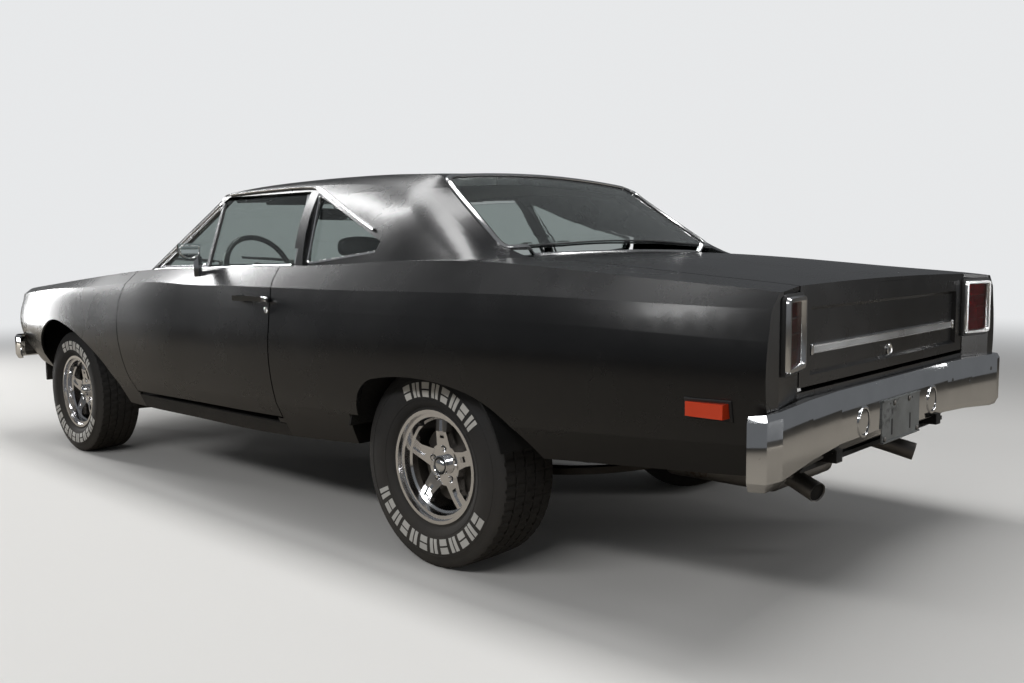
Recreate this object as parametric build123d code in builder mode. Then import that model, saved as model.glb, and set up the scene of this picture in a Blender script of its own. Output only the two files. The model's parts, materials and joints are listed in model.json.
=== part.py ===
"""A black two-door American mid-size performance coupe of the late nineteen-sixties, as separate panels and pieces.

Millimetres. +X points forward, +Y to the car's left and +Z up.
The origin is on the ground under the middle of the car's length.
"""
import os
from collections import namedtuple
from math import cos, radians, sin, sqrt

from build123d import *

# Stance and running gear
WHEELBASE = 2946
FRONT_AXLE_X = 1653
REAR_AXLE_X = FRONT_AXLE_X - WHEELBASE
FRONT_TYRE_RADIUS = 334
REAR_TYRE_RADIUS = 351
FRONT_TYRE_WIDTH = 236
REAR_TYRE_WIDTH = 268
FRONT_WHEEL_Y = 752
REAR_WHEEL_Y = 748
RIM_FLANGE_RADIUS = 207
RIM_SEAT_RADIUS = 190
SPOKES = 5
DRUM_RADIUS = 135
DRUM_WIDTH = 78
HUB_RADIUS = 74
SPINDLE_RADIUS = 22
SPINDLE_REACH = 24
BEAD_INSET = 26
BEAD_RADIUS = 201
HUB_DEPTH = 86
HUB_FACE_DEPTH = 46
CAP_RADIUS = 34
CAP_DEPTH = 26
BOLT_CIRCLE_RADIUS = 57.15
LUG_POCKET_RADIUS = 13
LUG_POCKET_DEPTH = 14
KINGPIN_RADIUS = 20
KINGPIN_INSET = 40
BALL_JOINT_RADIUS = 26
ARM_ROOT_HALF = 90
AXLE_TUBE_RADIUS = 38
DIFFERENTIAL_RADIUS = 130
SHAFT_RADIUS = 35
SHAFT_LEVEL = 370
SPRING_Y = 488
SPRING_WIDTH = 64
SPRING_FRONT = 560
SPRING_REAR = 820
LEAF_STACK = 22.7
ARM_LEVEL = 106
ARM_THICKNESS = 24
RUNNING_GAP = 6
SEAT_GAP = 0.3

# Sheet metal
SKIN = 12
PANEL_GAP = 6
DOOR_GAP = 7
DOOR_TAPER = 5
DOOR_INNER_Y = 748
HINGE_POST_X = 868
HINGE_LEVELS = (540, 820)
HINGE_LEAF = 90
HINGE_HEIGHT = 50
HINGE_THICKNESS = 12
OUTSIDE_Y = 1000
SKIN_DROP = 250
WHEEL_HOUSE_RADIUS = 392
WHEEL_HOUSE_WALL = 8
ROOF_THICKNESS = 38
GLASS = 6
GLASS_SET_IN = 2

# Where panels meet
HOOD_HALF_WIDTH = 706
HOOD_REAR_X = 1010
HOOD_FRONT_X = 2440
DECK_HALF_WIDTH = 640
DECK_FRONT_X = -1640
DECK_REAR_X = -2520
DECK_LOW = 713
DECK_PLATE = 22
DECK_RECESS_HALF = 576
DECK_RECESS_LOW = 742
DECK_RECESS_HIGH = 930
DECK_RECESS_DEPTH = 12
TAIL_X = -2557
TAIL_PLATE = 14
TAIL_HALF_WIDTH = 806
TAIL_BEND_Y = 652
TAIL_LOW = 500
TAIL_SPLIT = 700
TAIL_HIGH = 968
NOSE_X = 2520
NOSE_PANEL_X = 2462
BACKLIGHT_TOP_X = -1062
BACKLIGHT_FOOT_X = -1500
FIREWALL_X = 825
FIREWALL_PLATE = 20
APRON_Y = 432
APRON_PLATE = 12
RAIL_LOW = 330
SUPPORT_X = 2330
GEARBOX_REAR_X = 600
FLOOR_Z = 366
SILL_FRONT_X = 790
SILL_REAR_X = -460
TUNNEL_HALF = 112
EXHAUST_LEVEL = 280
PIPE_RADIUS = 30
HEADER_CORNER_X = 376
HEADER_MIDDLE_X = 446
ROOF_TOP = 1500
BACKLIGHT_LOW = 900
PILLAR_TOP = (344, 604, 1366)
PILLAR_FOOT = (872, 738, 1006)
BOOT_EDGE_Y = 560

# Ends of the car
GRILLE_HALF_WIDTH = 700
GRILLE_LOW = 622
GRILLE_HIGH = 838
GRILLE_DEPTH = 30
GRILLE_BARS = 7
BAR_HEIGHT = 6
HEADLAMP_RADIUS = 72
HEADLAMP_BEZEL = 86
HEADLAMP_YS = (430, 608)
HEADLAMP_Z = 730
LAMP_INNER_Y = 654
LAMP_OUTER_Y = 786
LAMP_LOW = 784
LAMP_HIGH = 950
LAMP_THICKNESS = 10
MARKER_REAR_X = -2466
MARKER_LENGTH = 110
MARKER_Z = 680
MARKER_HEIGHT = 38
REAR_BUMPER_X = -2550
FRONT_BUMPER_X = 2572
BUMPER_SHEET = 7
BUMPER_OVAL_Y = 278
BUMPER_OVAL_Z = 575
BRACKET_THICKNESS = 4
BRACKET_HALF_WIDTH = 152
BRACKET_LOW = 487
BRACKET_HIGH = 621
PLATE_HOLE_SPACING = 177.8
PLATE_HOLE_RADIUS = 3.5
PLATE_HOLE_Z = 606

# Cabin
BELT_GLASS_Y = 788
BELT_GLASS_Z = 1010
HEAD_GLASS_Y = 640
HEAD_GLASS_Z = 1346
WHEEL_CENTRE = (520, 380, 1000)
WHEEL_RADIUS = 190
COLUMN_ANGLE = 24
SEAT_INNER_Y = 130
SEAT_OUTER_Y = 630
REAR_SEAT_HALF = 540
MIRROR_X = 190
MIRROR_Y = 930
MIRROR_Z = 1098
HANDLE_X = -333
HANDLE_LENGTH = 214
HANDLE_Z = 910

# Half sections of the lower body, from the sill upwards: sill edge, lower crease, widest point, start of the
# shoulder, crease under the upper panel, top edge, and the crown on the centre line.
BodyStation = namedtuple(
    "BodyStation",
    "x sill_y sill_z low_y low_z belly_y belly_z shoulder_y shoulder_z crease_y crease_z edge_y edge_z crown_z",
)
BODY_STATIONS = [
    BodyStation(2520, 700, 470, 762, 560, 800, 640, 794, 780, 780, 845, 745, 874, 890),
    BodyStation(2340, 770, 458, 832, 552, 868, 645, 860, 795, 842, 862, 800, 892, 910),
    BodyStation(2040, 820, 440, 880, 530, 914, 650, 904, 820, 884, 884, 836, 914, 938),
    BodyStation(1678, 850, 405, 915, 512, 948, 650, 938, 840, 914, 906, 858, 942, 966),
    BodyStation(1280, 864, 365, 932, 500, 962, 650, 950, 850, 924, 922, 866, 974, 992),
    BodyStation(885, 868, 345, 938, 495, 967, 650, 955, 860, 928, 945, 868, 1004, 1016),
    BodyStation(250, 868, 345, 940, 494, 970, 650, 957, 865, 930, 955, 866, 1021, 1036),
    BodyStation(-440, 868, 354, 939, 498, 969, 660, 957, 870, 931, 955, 874, 1036, 1054),
    BodyStation(-950, 868, 385, 936, 512, 968, 670, 957, 875, 932, 954, 876, 1050, 1072),
    BodyStation(-1500, 868, 430, 932, 540, 964, 685, 954, 880, 930, 958, 872, 1058, 1082),
    BodyStation(-2020, 856, 470, 922, 570, 955, 700, 945, 878, 922, 953, 858, 1024, 1046),
    BodyStation(-2330, 842, 490, 903, 585, 934, 710, 925, 868, 902, 945, 843, 1000, 1016),
    BodyStation(-2557, 800, 502, 858, 592, 890, 720, 882, 860, 866, 938, 826, 980, 992),
]

# Half sections of the roof and pillars: foot inside the belt, middle of the side, rail over the windows,
# edge of the roof panel, and the crown on the centre line.
RoofStation = namedtuple("RoofStation", "x foot_y foot_z mid_y mid_z rail_y rail_z edge_y edge_z crown_z")
ROOF_STATIONS = [
    RoofStation(470, 800, 970, 736, 1160, 648, 1338, 604, 1356, 1378),
    RoofStation(372, 800, 972, 738, 1164, 640, 1350, 590, 1368, 1388),
    RoofStation(100, 802, 975, 740, 1172, 632, 1366, 570, 1388, 1402),
    RoofStation(-170, 806, 980, 744, 1178, 629, 1369, 560, 1397, 1411),
    RoofStation(-440, 812, 985, 750, 1182, 628, 1366, 554, 1400, 1416),
    RoofStation(-700, 826, 990, 760, 1184, 630, 1354, 552, 1396, 1415),
    RoofStation(-880, 838, 994, 772, 1178, 635, 1336, 556, 1388, 1409),
    RoofStation(-1000, 848, 998, 784, 1168, 642, 1318, 566, 1378, 1401),
    RoofStation(-1060, 853, 1000, 790, 1158, 650, 1300, 574, 1366, 1392),
    RoofStation(-1120, 857, 1002, 797, 1142, 660, 1272, 584, 1328, 1358),
    RoofStation(-1190, 861, 1006, 805, 1120, 675, 1232, 598, 1278, 1313),
    RoofStation(-1278, 865, 1010, 815, 1094, 698, 1182, 620, 1216, 1258),
    RoofStation(-1370, 868, 1012, 826, 1068, 720, 1130, 645, 1152, 1198),
    RoofStation(-1458, 870, 1014, 836, 1044, 744, 1082, 672, 1094, 1140),
    RoofStation(-1550, 870, 1008, 842, 1026, 764, 1052, 690, 1062, 1100),
    RoofStation(-1640, 866, 1000, 846, 1012, 780, 1028, 702, 1036, 1066),
    RoofStation(-1740, 860, 988, 844, 998, 784, 1010, 706, 1018, 1040),
]

# Side-view outlines, x then z
DOOR_OUTLINE = [(824, 1120), (826, 966), (858, 855), (856, 700), (826, 520), (800, 418), (-462, 430),
                (-462, 707), (-466, 814), (-458, 907), (-424, 988), (-424, 1120)]
DOOR_WINDOW = [(806, 1000), (330, 1350), (-328, 1344), (-410, 1000)]
QUARTER_WINDOW = [(-388, 1336), (-468, 1032), (-948, 1086), (-966, 1128)]
REAR_CUSHION = [(-530, 366.3), (-530, 700), (-900, 655), (-900, 474), (-765, 366.3)]
REAR_BACKREST = [(-900.3, 480.5), (-900.3, 660), (-1000, 985), (-1080, 985), (-1080, 520.3), (-964, 520.3)]
FLOOR_LINE = [(824.7, 352), (-760, 352), (-960, 506), (-1680, 506), (-1740, 460), (-2490, 460),
              (-2490, 474), (-1734, 474), (-1674, 520), (-966, 520), (-766, 366), (824.7, 366)]
ROOF_SPLIT = [(-1120, 1322), (-330, 1322), (-330, 1200), (500, 1200), (500, 1500), (-1120, 1500)]
DASH_PROFILE = [(FIREWALL_X - SEAT_GAP, 770), (690, 760), (650, 800), (636, 880), (664, 968), (712, 992),
                (FIREWALL_X - SEAT_GAP, 1000)]
DOOR_GLASS = [(792, 990), (336, 1334), (-320, 1332), (-402, 990)]
QUARTER_GLASS = [(-394, 1328), (-470, 1034), (-942, 1089), (-956, 1122)]

# Wheel openings seen from the side: foot, then the turns of the arch, then the other foot
FRONT_ARCH = ((2014, 300), [(2014, 420), (1900, 655), (1600, 738), (1100, 562), (985, 440)], (950, 300))
REAR_ARCH = ((-975, 300), [(-975, 500), (-1100, 652), (-1540, 648), (-1790, 470)], (-1890, 300))

# The rear window seen from above
BACKLIGHT_PLAN = [(BACKLIGHT_TOP_X, 568), (-1450, 660), (-1486, 400), (BACKLIGHT_FOOT_X, 0), (-1486, -400),
                  (-1450, -660), (BACKLIGHT_TOP_X, -568)]


def across(x):
    """The plane across the car at x, with its own X to the car's left and its own Y up."""
    return Plane(origin=(x, 0, 0), x_dir=(0, 1, 0), z_dir=(1, 0, 0))


def body_face(station, inset=0, floor_drop=0):
    """One section of the lower body, taken in by inset, with its floor lowered by floor_drop."""
    s = station
    sill = (s.sill_y - inset, s.sill_z)
    foot = (s.sill_y - inset, s.sill_z - floor_drop)
    low = (s.low_y - inset, s.low_z)
    belly = (s.belly_y - inset, s.belly_z)
    shoulder = (s.shoulder_y - inset, s.shoulder_z - inset / 4)
    crease = (s.crease_y - inset, s.crease_z - inset / 2)
    edge = (s.edge_y - inset, s.edge_z - inset)
    with BuildSketch(across(s.x)) as face:
        with BuildLine():
            tuck = Line(sill, low)
            side = ThreePointArc(low, belly, shoulder)
            roll = TangentArc(shoulder, crease, tangent=side % 1)
            upper = Line(crease, edge)
            half = [tuck, side, roll, upper]
            if floor_drop:
                half.append(Line(foot, sill))
            mirror(half, about=Plane.YZ)
            ThreePointArc(edge, (0, s.crown_z - inset), (-edge[0], edge[1]))
            Line((-foot[0], foot[1]), foot)
        make_face()
    return face.sketch.face()


def roof_face(station, inset=0):
    """One section of the roof and its pillars, taken in by inset."""
    s = station
    foot = (s.foot_y - inset, s.foot_z - inset)
    rail = (s.rail_y - inset, s.rail_z - inset / 2)
    edge = (s.edge_y - inset, s.edge_z - inset)
    with BuildSketch(across(s.x)) as face:
        with BuildLine():
            side = ThreePointArc(foot, (s.mid_y - inset, s.mid_z - inset / 2), rail)
            roll = TangentArc(rail, edge, tangent=side % 1)
            mirror((side, roll), about=Plane.YZ)
            ThreePointArc(edge, (0, s.crown_z - inset), (-edge[0], edge[1]))
            Line((-foot[0], foot[1]), foot)
        make_face()
    return face.sketch.face()


def body_form(inset=0, floor_drop=0):
    """The whole lower body as one solid, without its openings."""
    with BuildPart() as form:
        loft([body_face(station, inset, floor_drop) for station in BODY_STATIONS])
    return form.part


def roof_form(inset=0):
    """The whole roof with its pillars as one solid, without its windows."""
    with BuildPart() as form:
        loft([roof_face(station, inset) for station in ROOF_STATIONS])
    return form.part


def outline_block(points, plane, amount, taper=0, grow=0):
    """A closed outline of straight runs, grown by grow all round and carried out from its plane."""
    with BuildPart() as block:
        with BuildSketch(plane):
            with BuildLine():
                Polyline(*points, close=True)
            make_face()
            if grow:
                offset(amount=grow, kind=Kind.INTERSECTION)
        extrude(amount=amount, taper=taper)
    return block.part


def side_block(points, outer_y, inner_y, taper=0, grow=0):
    """A side-view outline carried across the car from outer_y to inner_y."""
    return outline_block(points, Plane.XZ.offset(-outer_y), outer_y - inner_y, taper, grow)


def plan_block(points, low, high, grow=0):
    """A top-view outline carried up from low to high."""
    return outline_block(points, Plane.XY.offset(low), high - low, grow=grow)


def arch_block(start, turns, end, outer_y, inner_y):
    """A wheel opening seen from the side: up from start, round through the turns in smooth arcs, down to end."""
    with BuildPart() as block:
        with BuildSketch(Plane.XZ.offset(-outer_y)):
            with BuildLine():
                rise = Line(start, (start[0], turns[0][1]))
                previous = rise
                for turn in turns[1:]:
                    previous = TangentArc(previous @ 1, turn, tangent=previous % 1)
                fall = Line(previous @ 1, end)
                Line(fall @ 1, start)
            make_face()
        extrude(amount=outer_y - inner_y)
    return block.part


def box_between(low, high):
    """A box from its lowest corner to its highest corner."""
    size = [high[i] - low[i] for i in range(3)]
    centre = [(high[i] + low[i]) / 2 for i in range(3)]
    with BuildPart() as block:
        with Locations(tuple(centre)):
            Box(*size)
    return block.part


# A box on the car's left: its ends along the car, its inner and outer side and its bottom and top
Span = namedtuple("Span", "rear front inner outer low high")


def paired_boxes(spans):
    """Every box of a list, with its copy on the car's right."""
    with BuildPart() as blocks:
        for s in spans:
            add(box_between((s.rear, s.inner, s.low), (s.front, s.outer, s.high)))
            add(box_between((s.rear, -s.outer, s.low), (s.front, -s.inner, s.high)))
    return blocks.part


def disc(x, y_low, y_high, z, radius):
    """A round piece on an axle line, from y_low to y_high."""
    with BuildPart() as piece:
        with BuildSketch(Plane(origin=(x, y_low, z), x_dir=(1, 0, 0), z_dir=(0, 1, 0))):
            Circle(radius)
        extrude(amount=y_high - y_low)
    return piece.part


def lamp_disc(rear_x, front_x, y, z, radius):
    """A round piece that faces along the car, from rear_x to front_x."""
    with BuildPart() as piece:
        with BuildSketch(across(rear_x)):
            with Locations((y, z)):
                Circle(radius)
        extrude(amount=front_x - rear_x)
    return piece.part


def common(first, second):
    """What two solids share."""
    with BuildPart() as shared:
        add(first)
        add(second, mode=Mode.INTERSECT)
    return shared.part


def less(first, *others):
    """A solid with others cut from it."""
    with BuildPart() as rest:
        add(first)
        for other in others:
            add(other, mode=Mode.SUBTRACT)
    return rest.part


def other_side(part):
    """The same piece on the car's right."""
    with BuildPart() as copy:
        mirror(part, about=Plane.XZ)
    return copy.part


def write(part, label):
    """Label a finished piece and write it out."""
    part.label = label
    export_step(part, f"parts/{label}.step")


def write_pair(part, label):
    """Write a left piece and its mirrored right piece."""
    write(part, f"{label}_left")
    write(other_side(part), f"{label}_right")


os.makedirs("parts", exist_ok=True)

# Whole forms that the panels are cut from
body = body_form()
hollow = body_form(SKIN, SKIN_DROP)
skin = less(body, hollow)
seat_form = body_form(SKIN + SEAT_GAP, SKIN_DROP)
above_body = body.moved(Location((0, 0, SEAT_GAP)))
beside_body = body.moved(Location((0, SEAT_GAP, 0)))

with BuildPart() as ahead_of_header:
    with BuildSketch(Plane.XY.offset(BACKLIGHT_LOW)):
        with BuildLine():
            header = ThreePointArc((HEADER_CORNER_X, 700), (HEADER_MIDDLE_X, 0), (HEADER_CORNER_X, -700))
            Polyline(header @ 1, (600, -700), (600, 700), header @ 0)
        make_face()
    extrude(amount=600)
upper = less(
    roof_form(),
    roof_form(ROOF_THICKNESS),
    side_block(DOOR_WINDOW, OUTSIDE_Y, -OUTSIDE_Y),
    side_block(QUARTER_WINDOW, OUTSIDE_Y, -OUTSIDE_Y),
    plan_block(BACKLIGHT_PLAN, BACKLIGHT_LOW, ROOF_TOP),
    ahead_of_header.part,
)
door_opening = side_block(DOOR_OUTLINE, OUTSIDE_Y, DOOR_INNER_Y - 60, DOOR_TAPER, DOOR_GAP)
roof_split = side_block(ROOF_SPLIT, OUTSIDE_Y, -OUTSIDE_Y)

# Doors with the inner leaves of their hinges
door_shell = common(body, side_block(DOOR_OUTLINE, OUTSIDE_Y, DOOR_INNER_Y, DOOR_TAPER))
with BuildPart() as door:
    add(door_shell)
    for hinge_z in HINGE_LEVELS:
        add(box_between((HINGE_POST_X - HINGE_LEAF, DOOR_INNER_Y, hinge_z),
                        (HINGE_POST_X - SEAT_GAP, DOOR_INNER_Y + HINGE_THICKNESS, hinge_z + HINGE_HEIGHT)))
write_pair(door.part, "door")

# Door handles with their locks, and the driver's mirror on its stalk
handle_end_x = HANDLE_X + HANDLE_LENGTH / 2
handle_feet = [HANDLE_X - HANDLE_LENGTH / 2 + 14, HANDLE_X + HANDLE_LENGTH / 2 - 14]
with BuildPart() as handle:
    add(box_between((HANDLE_X - HANDLE_LENGTH / 2, 972, HANDLE_Z - 10), (handle_end_x, 980, HANDLE_Z + 10)))
    for foot_x in handle_feet:
        add(box_between((foot_x - 14, 930, HANDLE_Z - 12), (foot_x + 14, 976, HANDLE_Z + 12)))
    add(disc(handle_feet[0] - 20, 930, 962, HANDLE_Z - 42, 12))
fittings_right = other_side(less(handle.part, beside_body))
with BuildPart() as mirror_head:
    with BuildSketch(across(MIRROR_X)):
        with BuildLine():
            Polyline((MIRROR_Y - 56, MIRROR_Z + 36), (MIRROR_Y - 48, MIRROR_Z - 18), (MIRROR_Y - 20, MIRROR_Z - 38),
                     (MIRROR_Y + 20, MIRROR_Z - 38), (MIRROR_Y + 50, MIRROR_Z - 16), (MIRROR_Y + 56, MIRROR_Z + 36),
                     close=True)
        make_face()
    extrude(amount=34, taper=18)
    with BuildSketch(Plane.XY.offset(980)):
        with Locations((MIRROR_X + 12, MIRROR_Y - 42)):
            Rectangle(40, 18)
    extrude(amount=MIRROR_Z - 1000)
with BuildPart() as fittings_left:
    add(handle.part)
    add(beside_body, mode=Mode.SUBTRACT)
    add(less(mirror_head.part, above_body))
write(fittings_left.part, "door_fittings_left")
write(fittings_right, "door_fittings_right")

# Front fenders
with BuildPart() as fender:
    add(skin)
    add(box_between((780, HOOD_HALF_WIDTH + PANEL_GAP, 200), (NOSE_X, OUTSIDE_Y, 1200)), mode=Mode.INTERSECT)
    add(door_opening, mode=Mode.SUBTRACT)
    add(box_between((820, 600, 900), (916, 764, 1100)), mode=Mode.SUBTRACT)
    add(box_between((770, 600, 200), (SILL_FRONT_X + 1, OUTSIDE_Y, 412)), mode=Mode.SUBTRACT)
    add(arch_block(*FRONT_ARCH, OUTSIDE_Y, 600), mode=Mode.SUBTRACT)
write_pair(fender.part, "fender")

# Hood, with the fixed panel ahead of it and the face panel below that frames the grille
write(common(skin, box_between((HOOD_REAR_X, -HOOD_HALF_WIDTH, 820), (HOOD_FRONT_X, HOOD_HALF_WIDTH, 1100))), "hood")
face_plate = common(body_form(SKIN + SEAT_GAP), box_between((NOSE_PANEL_X, -OUTSIDE_Y, 300),
                                                            (NOSE_PANEL_X + SKIN, OUTSIDE_Y, 1100)))
face_top = common(body, box_between((NOSE_PANEL_X, -GRILLE_HALF_WIDTH, GRILLE_HIGH),
                                    (NOSE_PANEL_X + SKIN, GRILLE_HALF_WIDTH, 1100)))
header_panel = common(skin, box_between((HOOD_FRONT_X + PANEL_GAP, -HOOD_HALF_WIDTH, 820),
                                        (NOSE_X, HOOD_HALF_WIDTH, 1100)))
grille_opening = box_between((2400, -GRILLE_HALF_WIDTH, GRILLE_LOW), (NOSE_X, GRILLE_HALF_WIDTH, GRILLE_HIGH))
front_bracket = Span(2400, FRONT_BUMPER_X - BUMPER_SHEET - SEAT_GAP, 380, 415, 500, 560)
with BuildPart() as nose:
    add(face_plate)
    add(grille_opening, mode=Mode.SUBTRACT)
    add(header_panel)
    add(face_top)
    add(paired_boxes([front_bracket._replace(inner=378, outer=417, low=498, high=562)]), mode=Mode.SUBTRACT)
write(nose.part, "nose_panel")

# Grille of level bars in a frame, with a ring round each headlamp
with BuildPart() as grille:
    add(box_between((NOSE_PANEL_X - GRILLE_DEPTH, -GRILLE_HALF_WIDTH - 20, GRILLE_LOW - 14),
                    (NOSE_PANEL_X - SEAT_GAP, GRILLE_HALF_WIDTH + 20, GRILLE_HIGH + 14)))
    pitch = (GRILLE_HIGH - GRILLE_LOW) / (GRILLE_BARS + 1)
    for slot in range(GRILLE_BARS + 1):
        low = GRILLE_LOW + slot * pitch
        add(box_between((2300, -GRILLE_HALF_WIDTH, low + BAR_HEIGHT / 2),
                        (NOSE_X, GRILLE_HALF_WIDTH, low + pitch - BAR_HEIGHT / 2)), mode=Mode.SUBTRACT)
    for upright_y in (-300, 0, 300):
        add(box_between((NOSE_PANEL_X - GRILLE_DEPTH, upright_y - 6, GRILLE_LOW - 4),
                        (NOSE_PANEL_X - GRILLE_DEPTH + 12, upright_y + 6, GRILLE_HIGH + 4)))
    for lamp_y in [side * y for side in (-1, 1) for y in HEADLAMP_YS]:
        add(lamp_disc(NOSE_PANEL_X - GRILLE_DEPTH, NOSE_PANEL_X + 6, lamp_y, HEADLAMP_Z, HEADLAMP_BEZEL))
    for lamp_y in [side * y for side in (-1, 1) for y in HEADLAMP_YS]:
        add(lamp_disc(2300, NOSE_X, lamp_y, HEADLAMP_Z, HEADLAMP_RADIUS + SEAT_GAP), mode=Mode.SUBTRACT)
write(grille.part, "grille")

with BuildPart() as headlamps:
    for lamp_y in [side * y for side in (-1, 1) for y in HEADLAMP_YS]:
        add(lamp_disc(NOSE_PANEL_X - GRILLE_DEPTH, NOSE_PANEL_X - 10, lamp_y, HEADLAMP_Z, HEADLAMP_RADIUS))
    fillet(headlamps.faces().sort_by(Axis.X)[-4:].edges(), 9)
write(headlamps.part, "headlamps")

# Deck lid with the recess across its rear face
with BuildPart() as deck_lid:
    add(skin)
    add(box_between((DECK_REAR_X, -DECK_HALF_WIDTH, 900), (DECK_FRONT_X, DECK_HALF_WIDTH, 1100)),
        mode=Mode.INTERSECT)
    add(box_between((DECK_REAR_X, -DECK_HALF_WIDTH, DECK_LOW), (DECK_REAR_X + DECK_PLATE, DECK_HALF_WIDTH, 984)))
    with BuildSketch(across(DECK_REAR_X)):
        with Locations((0, (DECK_RECESS_LOW + DECK_RECESS_HIGH) / 2)):
            Rectangle(2 * DECK_RECESS_HALF, DECK_RECESS_HIGH - DECK_RECESS_LOW)
    extrude(amount=DECK_RECESS_DEPTH, taper=40, mode=Mode.SUBTRACT)
write(deck_lid.part, "deck_lid")

# Quarter panels with the rear pillars
quarter_body = common(body, box_between((TAIL_X, 600, 200), (-420, OUTSIDE_Y, 1300)))
quarter_hollow = less(hollow, box_between((-1000, DOOR_INNER_Y, 200), (-420, OUTSIDE_Y, 1300)))
pillar = common(less(upper, roof_split), box_between((-1760, 560, 960), (-320, OUTSIDE_Y, 1340)))
with BuildPart() as quarter:
    add(quarter_body)
    add(quarter_hollow, mode=Mode.SUBTRACT)
    add(box_between((DECK_REAR_X - 60, 0, 600), (DECK_FRONT_X + PANEL_GAP, DECK_HALF_WIDTH + PANEL_GAP, 1300)),
        mode=Mode.SUBTRACT)
    add(box_between((DECK_FRONT_X, 0, 600), (-440, DECK_HALF_WIDTH + SEAT_GAP, 1300)), mode=Mode.SUBTRACT)
    add(box_between((-1460, 600, 1000), (-1000, DOOR_INNER_Y, 1100)), mode=Mode.SUBTRACT)
    add(pillar)
    add(door_opening, mode=Mode.SUBTRACT)
    add(arch_block(*REAR_ARCH, OUTSIDE_Y, 600), mode=Mode.SUBTRACT)
    add(disc(REAR_AXLE_X, 540, 932, REAR_TYRE_RADIUS, WHEEL_HOUSE_RADIUS + WHEEL_HOUSE_WALL + 1), mode=Mode.SUBTRACT)
    add(box_between((SILL_REAR_X - 1, 700, 200), (-400, OUTSIDE_Y, 412)), mode=Mode.SUBTRACT)
    add(box_between((DECK_FRONT_X, 500, 950), (-1439, DECK_HALF_WIDTH + SEAT_GAP, 1092)), mode=Mode.SUBTRACT)
    add(plan_block([(TAIL_X - 40, 500), (DECK_REAR_X, 500), (DECK_REAR_X, DECK_HALF_WIDTH + PANEL_GAP),
                    (TAIL_X, TAIL_HALF_WIDTH), (TAIL_X - 40, TAIL_HALF_WIDTH)], 550, 1300), mode=Mode.SUBTRACT)
write_pair(quarter.part, "quarter_panel")

with BuildPart() as front_pillar:
    with BuildSketch(Plane.XY.offset(PILLAR_TOP[2])):
        with Locations(PILLAR_TOP[:2]):
            Rectangle(56, 40)
    with BuildSketch(Plane.XY.offset(PILLAR_FOOT[2])):
        with Locations(PILLAR_FOOT[:2]):
            Rectangle(76, 44)
    loft(ruled=True)
with BuildPart() as roof:
    add(upper)
    add(roof_split, mode=Mode.INTERSECT)
    add(front_pillar.part)
    mirror(front_pillar.part, about=Plane.XZ)
write(roof.part, "roof")

# Cowl, firewall, inner fenders, rails and radiator support
firewall = Span(FIREWALL_X, FIREWALL_X + FIREWALL_PLATE, 0, HOOD_HALF_WIDTH, RAIL_LOW, 1000)
inner_fender = Span(FIREWALL_X + 10, SUPPORT_X + 20, APRON_Y, APRON_Y + APRON_PLATE, 560, 862)
rail = Span(FIREWALL_X + 10, 2440, APRON_Y - 75, APRON_Y - 5, RAIL_LOW, RAIL_LOW + 100)
apron_foot = Span(FIREWALL_X + 10, SUPPORT_X + 20, APRON_Y - 15, APRON_Y + APRON_PLATE, 400, 600)
hinge_post = Span(FIREWALL_X, 912, 600, 741, 345, 1006)
hinge_face = Span(HINGE_POST_X, 912, 740, 760, 345, 1006)
fender_shelf = Span(FIREWALL_X + 10, SUPPORT_X + 20, APRON_Y, 728, 850, 862)
bumper_foot = Span(2400, 2440, 380, 415, 400, 560)
grille_foot = Span(SUPPORT_X + 19, NOSE_PANEL_X - GRILLE_DEPTH - SEAT_GAP, 500, 530, 640, 700)
cross_member = Span(1560, 1750, 0, APRON_Y + APRON_PLATE, 205, RAIL_LOW)
ledges = common(paired_boxes([Span(930, SUPPORT_X + 20, 716, 728, 851, 1010), Span(1020, 1080, 600, 640, 851, 1020)]),
                seat_form)
with BuildPart() as front_structure:
    add(skin)
    add(box_between((FIREWALL_X, -HOOD_HALF_WIDTH, 900), (HOOD_REAR_X - PANEL_GAP, HOOD_HALF_WIDTH, 1100)),
        mode=Mode.INTERSECT)
    add(paired_boxes([firewall, inner_fender, rail, apron_foot, hinge_post, hinge_face, fender_shelf, bumper_foot,
                      front_bracket, grille_foot, cross_member]))
    add(box_between((SUPPORT_X, -748, RAIL_LOW), (SUPPORT_X + 20, 748, 870)))
    add(box_between((SUPPORT_X - 10, -300, 400), (SUPPORT_X + 30, 300, 800)), mode=Mode.SUBTRACT)
    add(box_between((FIREWALL_X - 5, -TUNNEL_HALF, RAIL_LOW - 5), (FIREWALL_X + 25, TUNNEL_HALF, 520)),
        mode=Mode.SUBTRACT)
    add(ledges)
write(front_structure.part, "front_structure")

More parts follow.
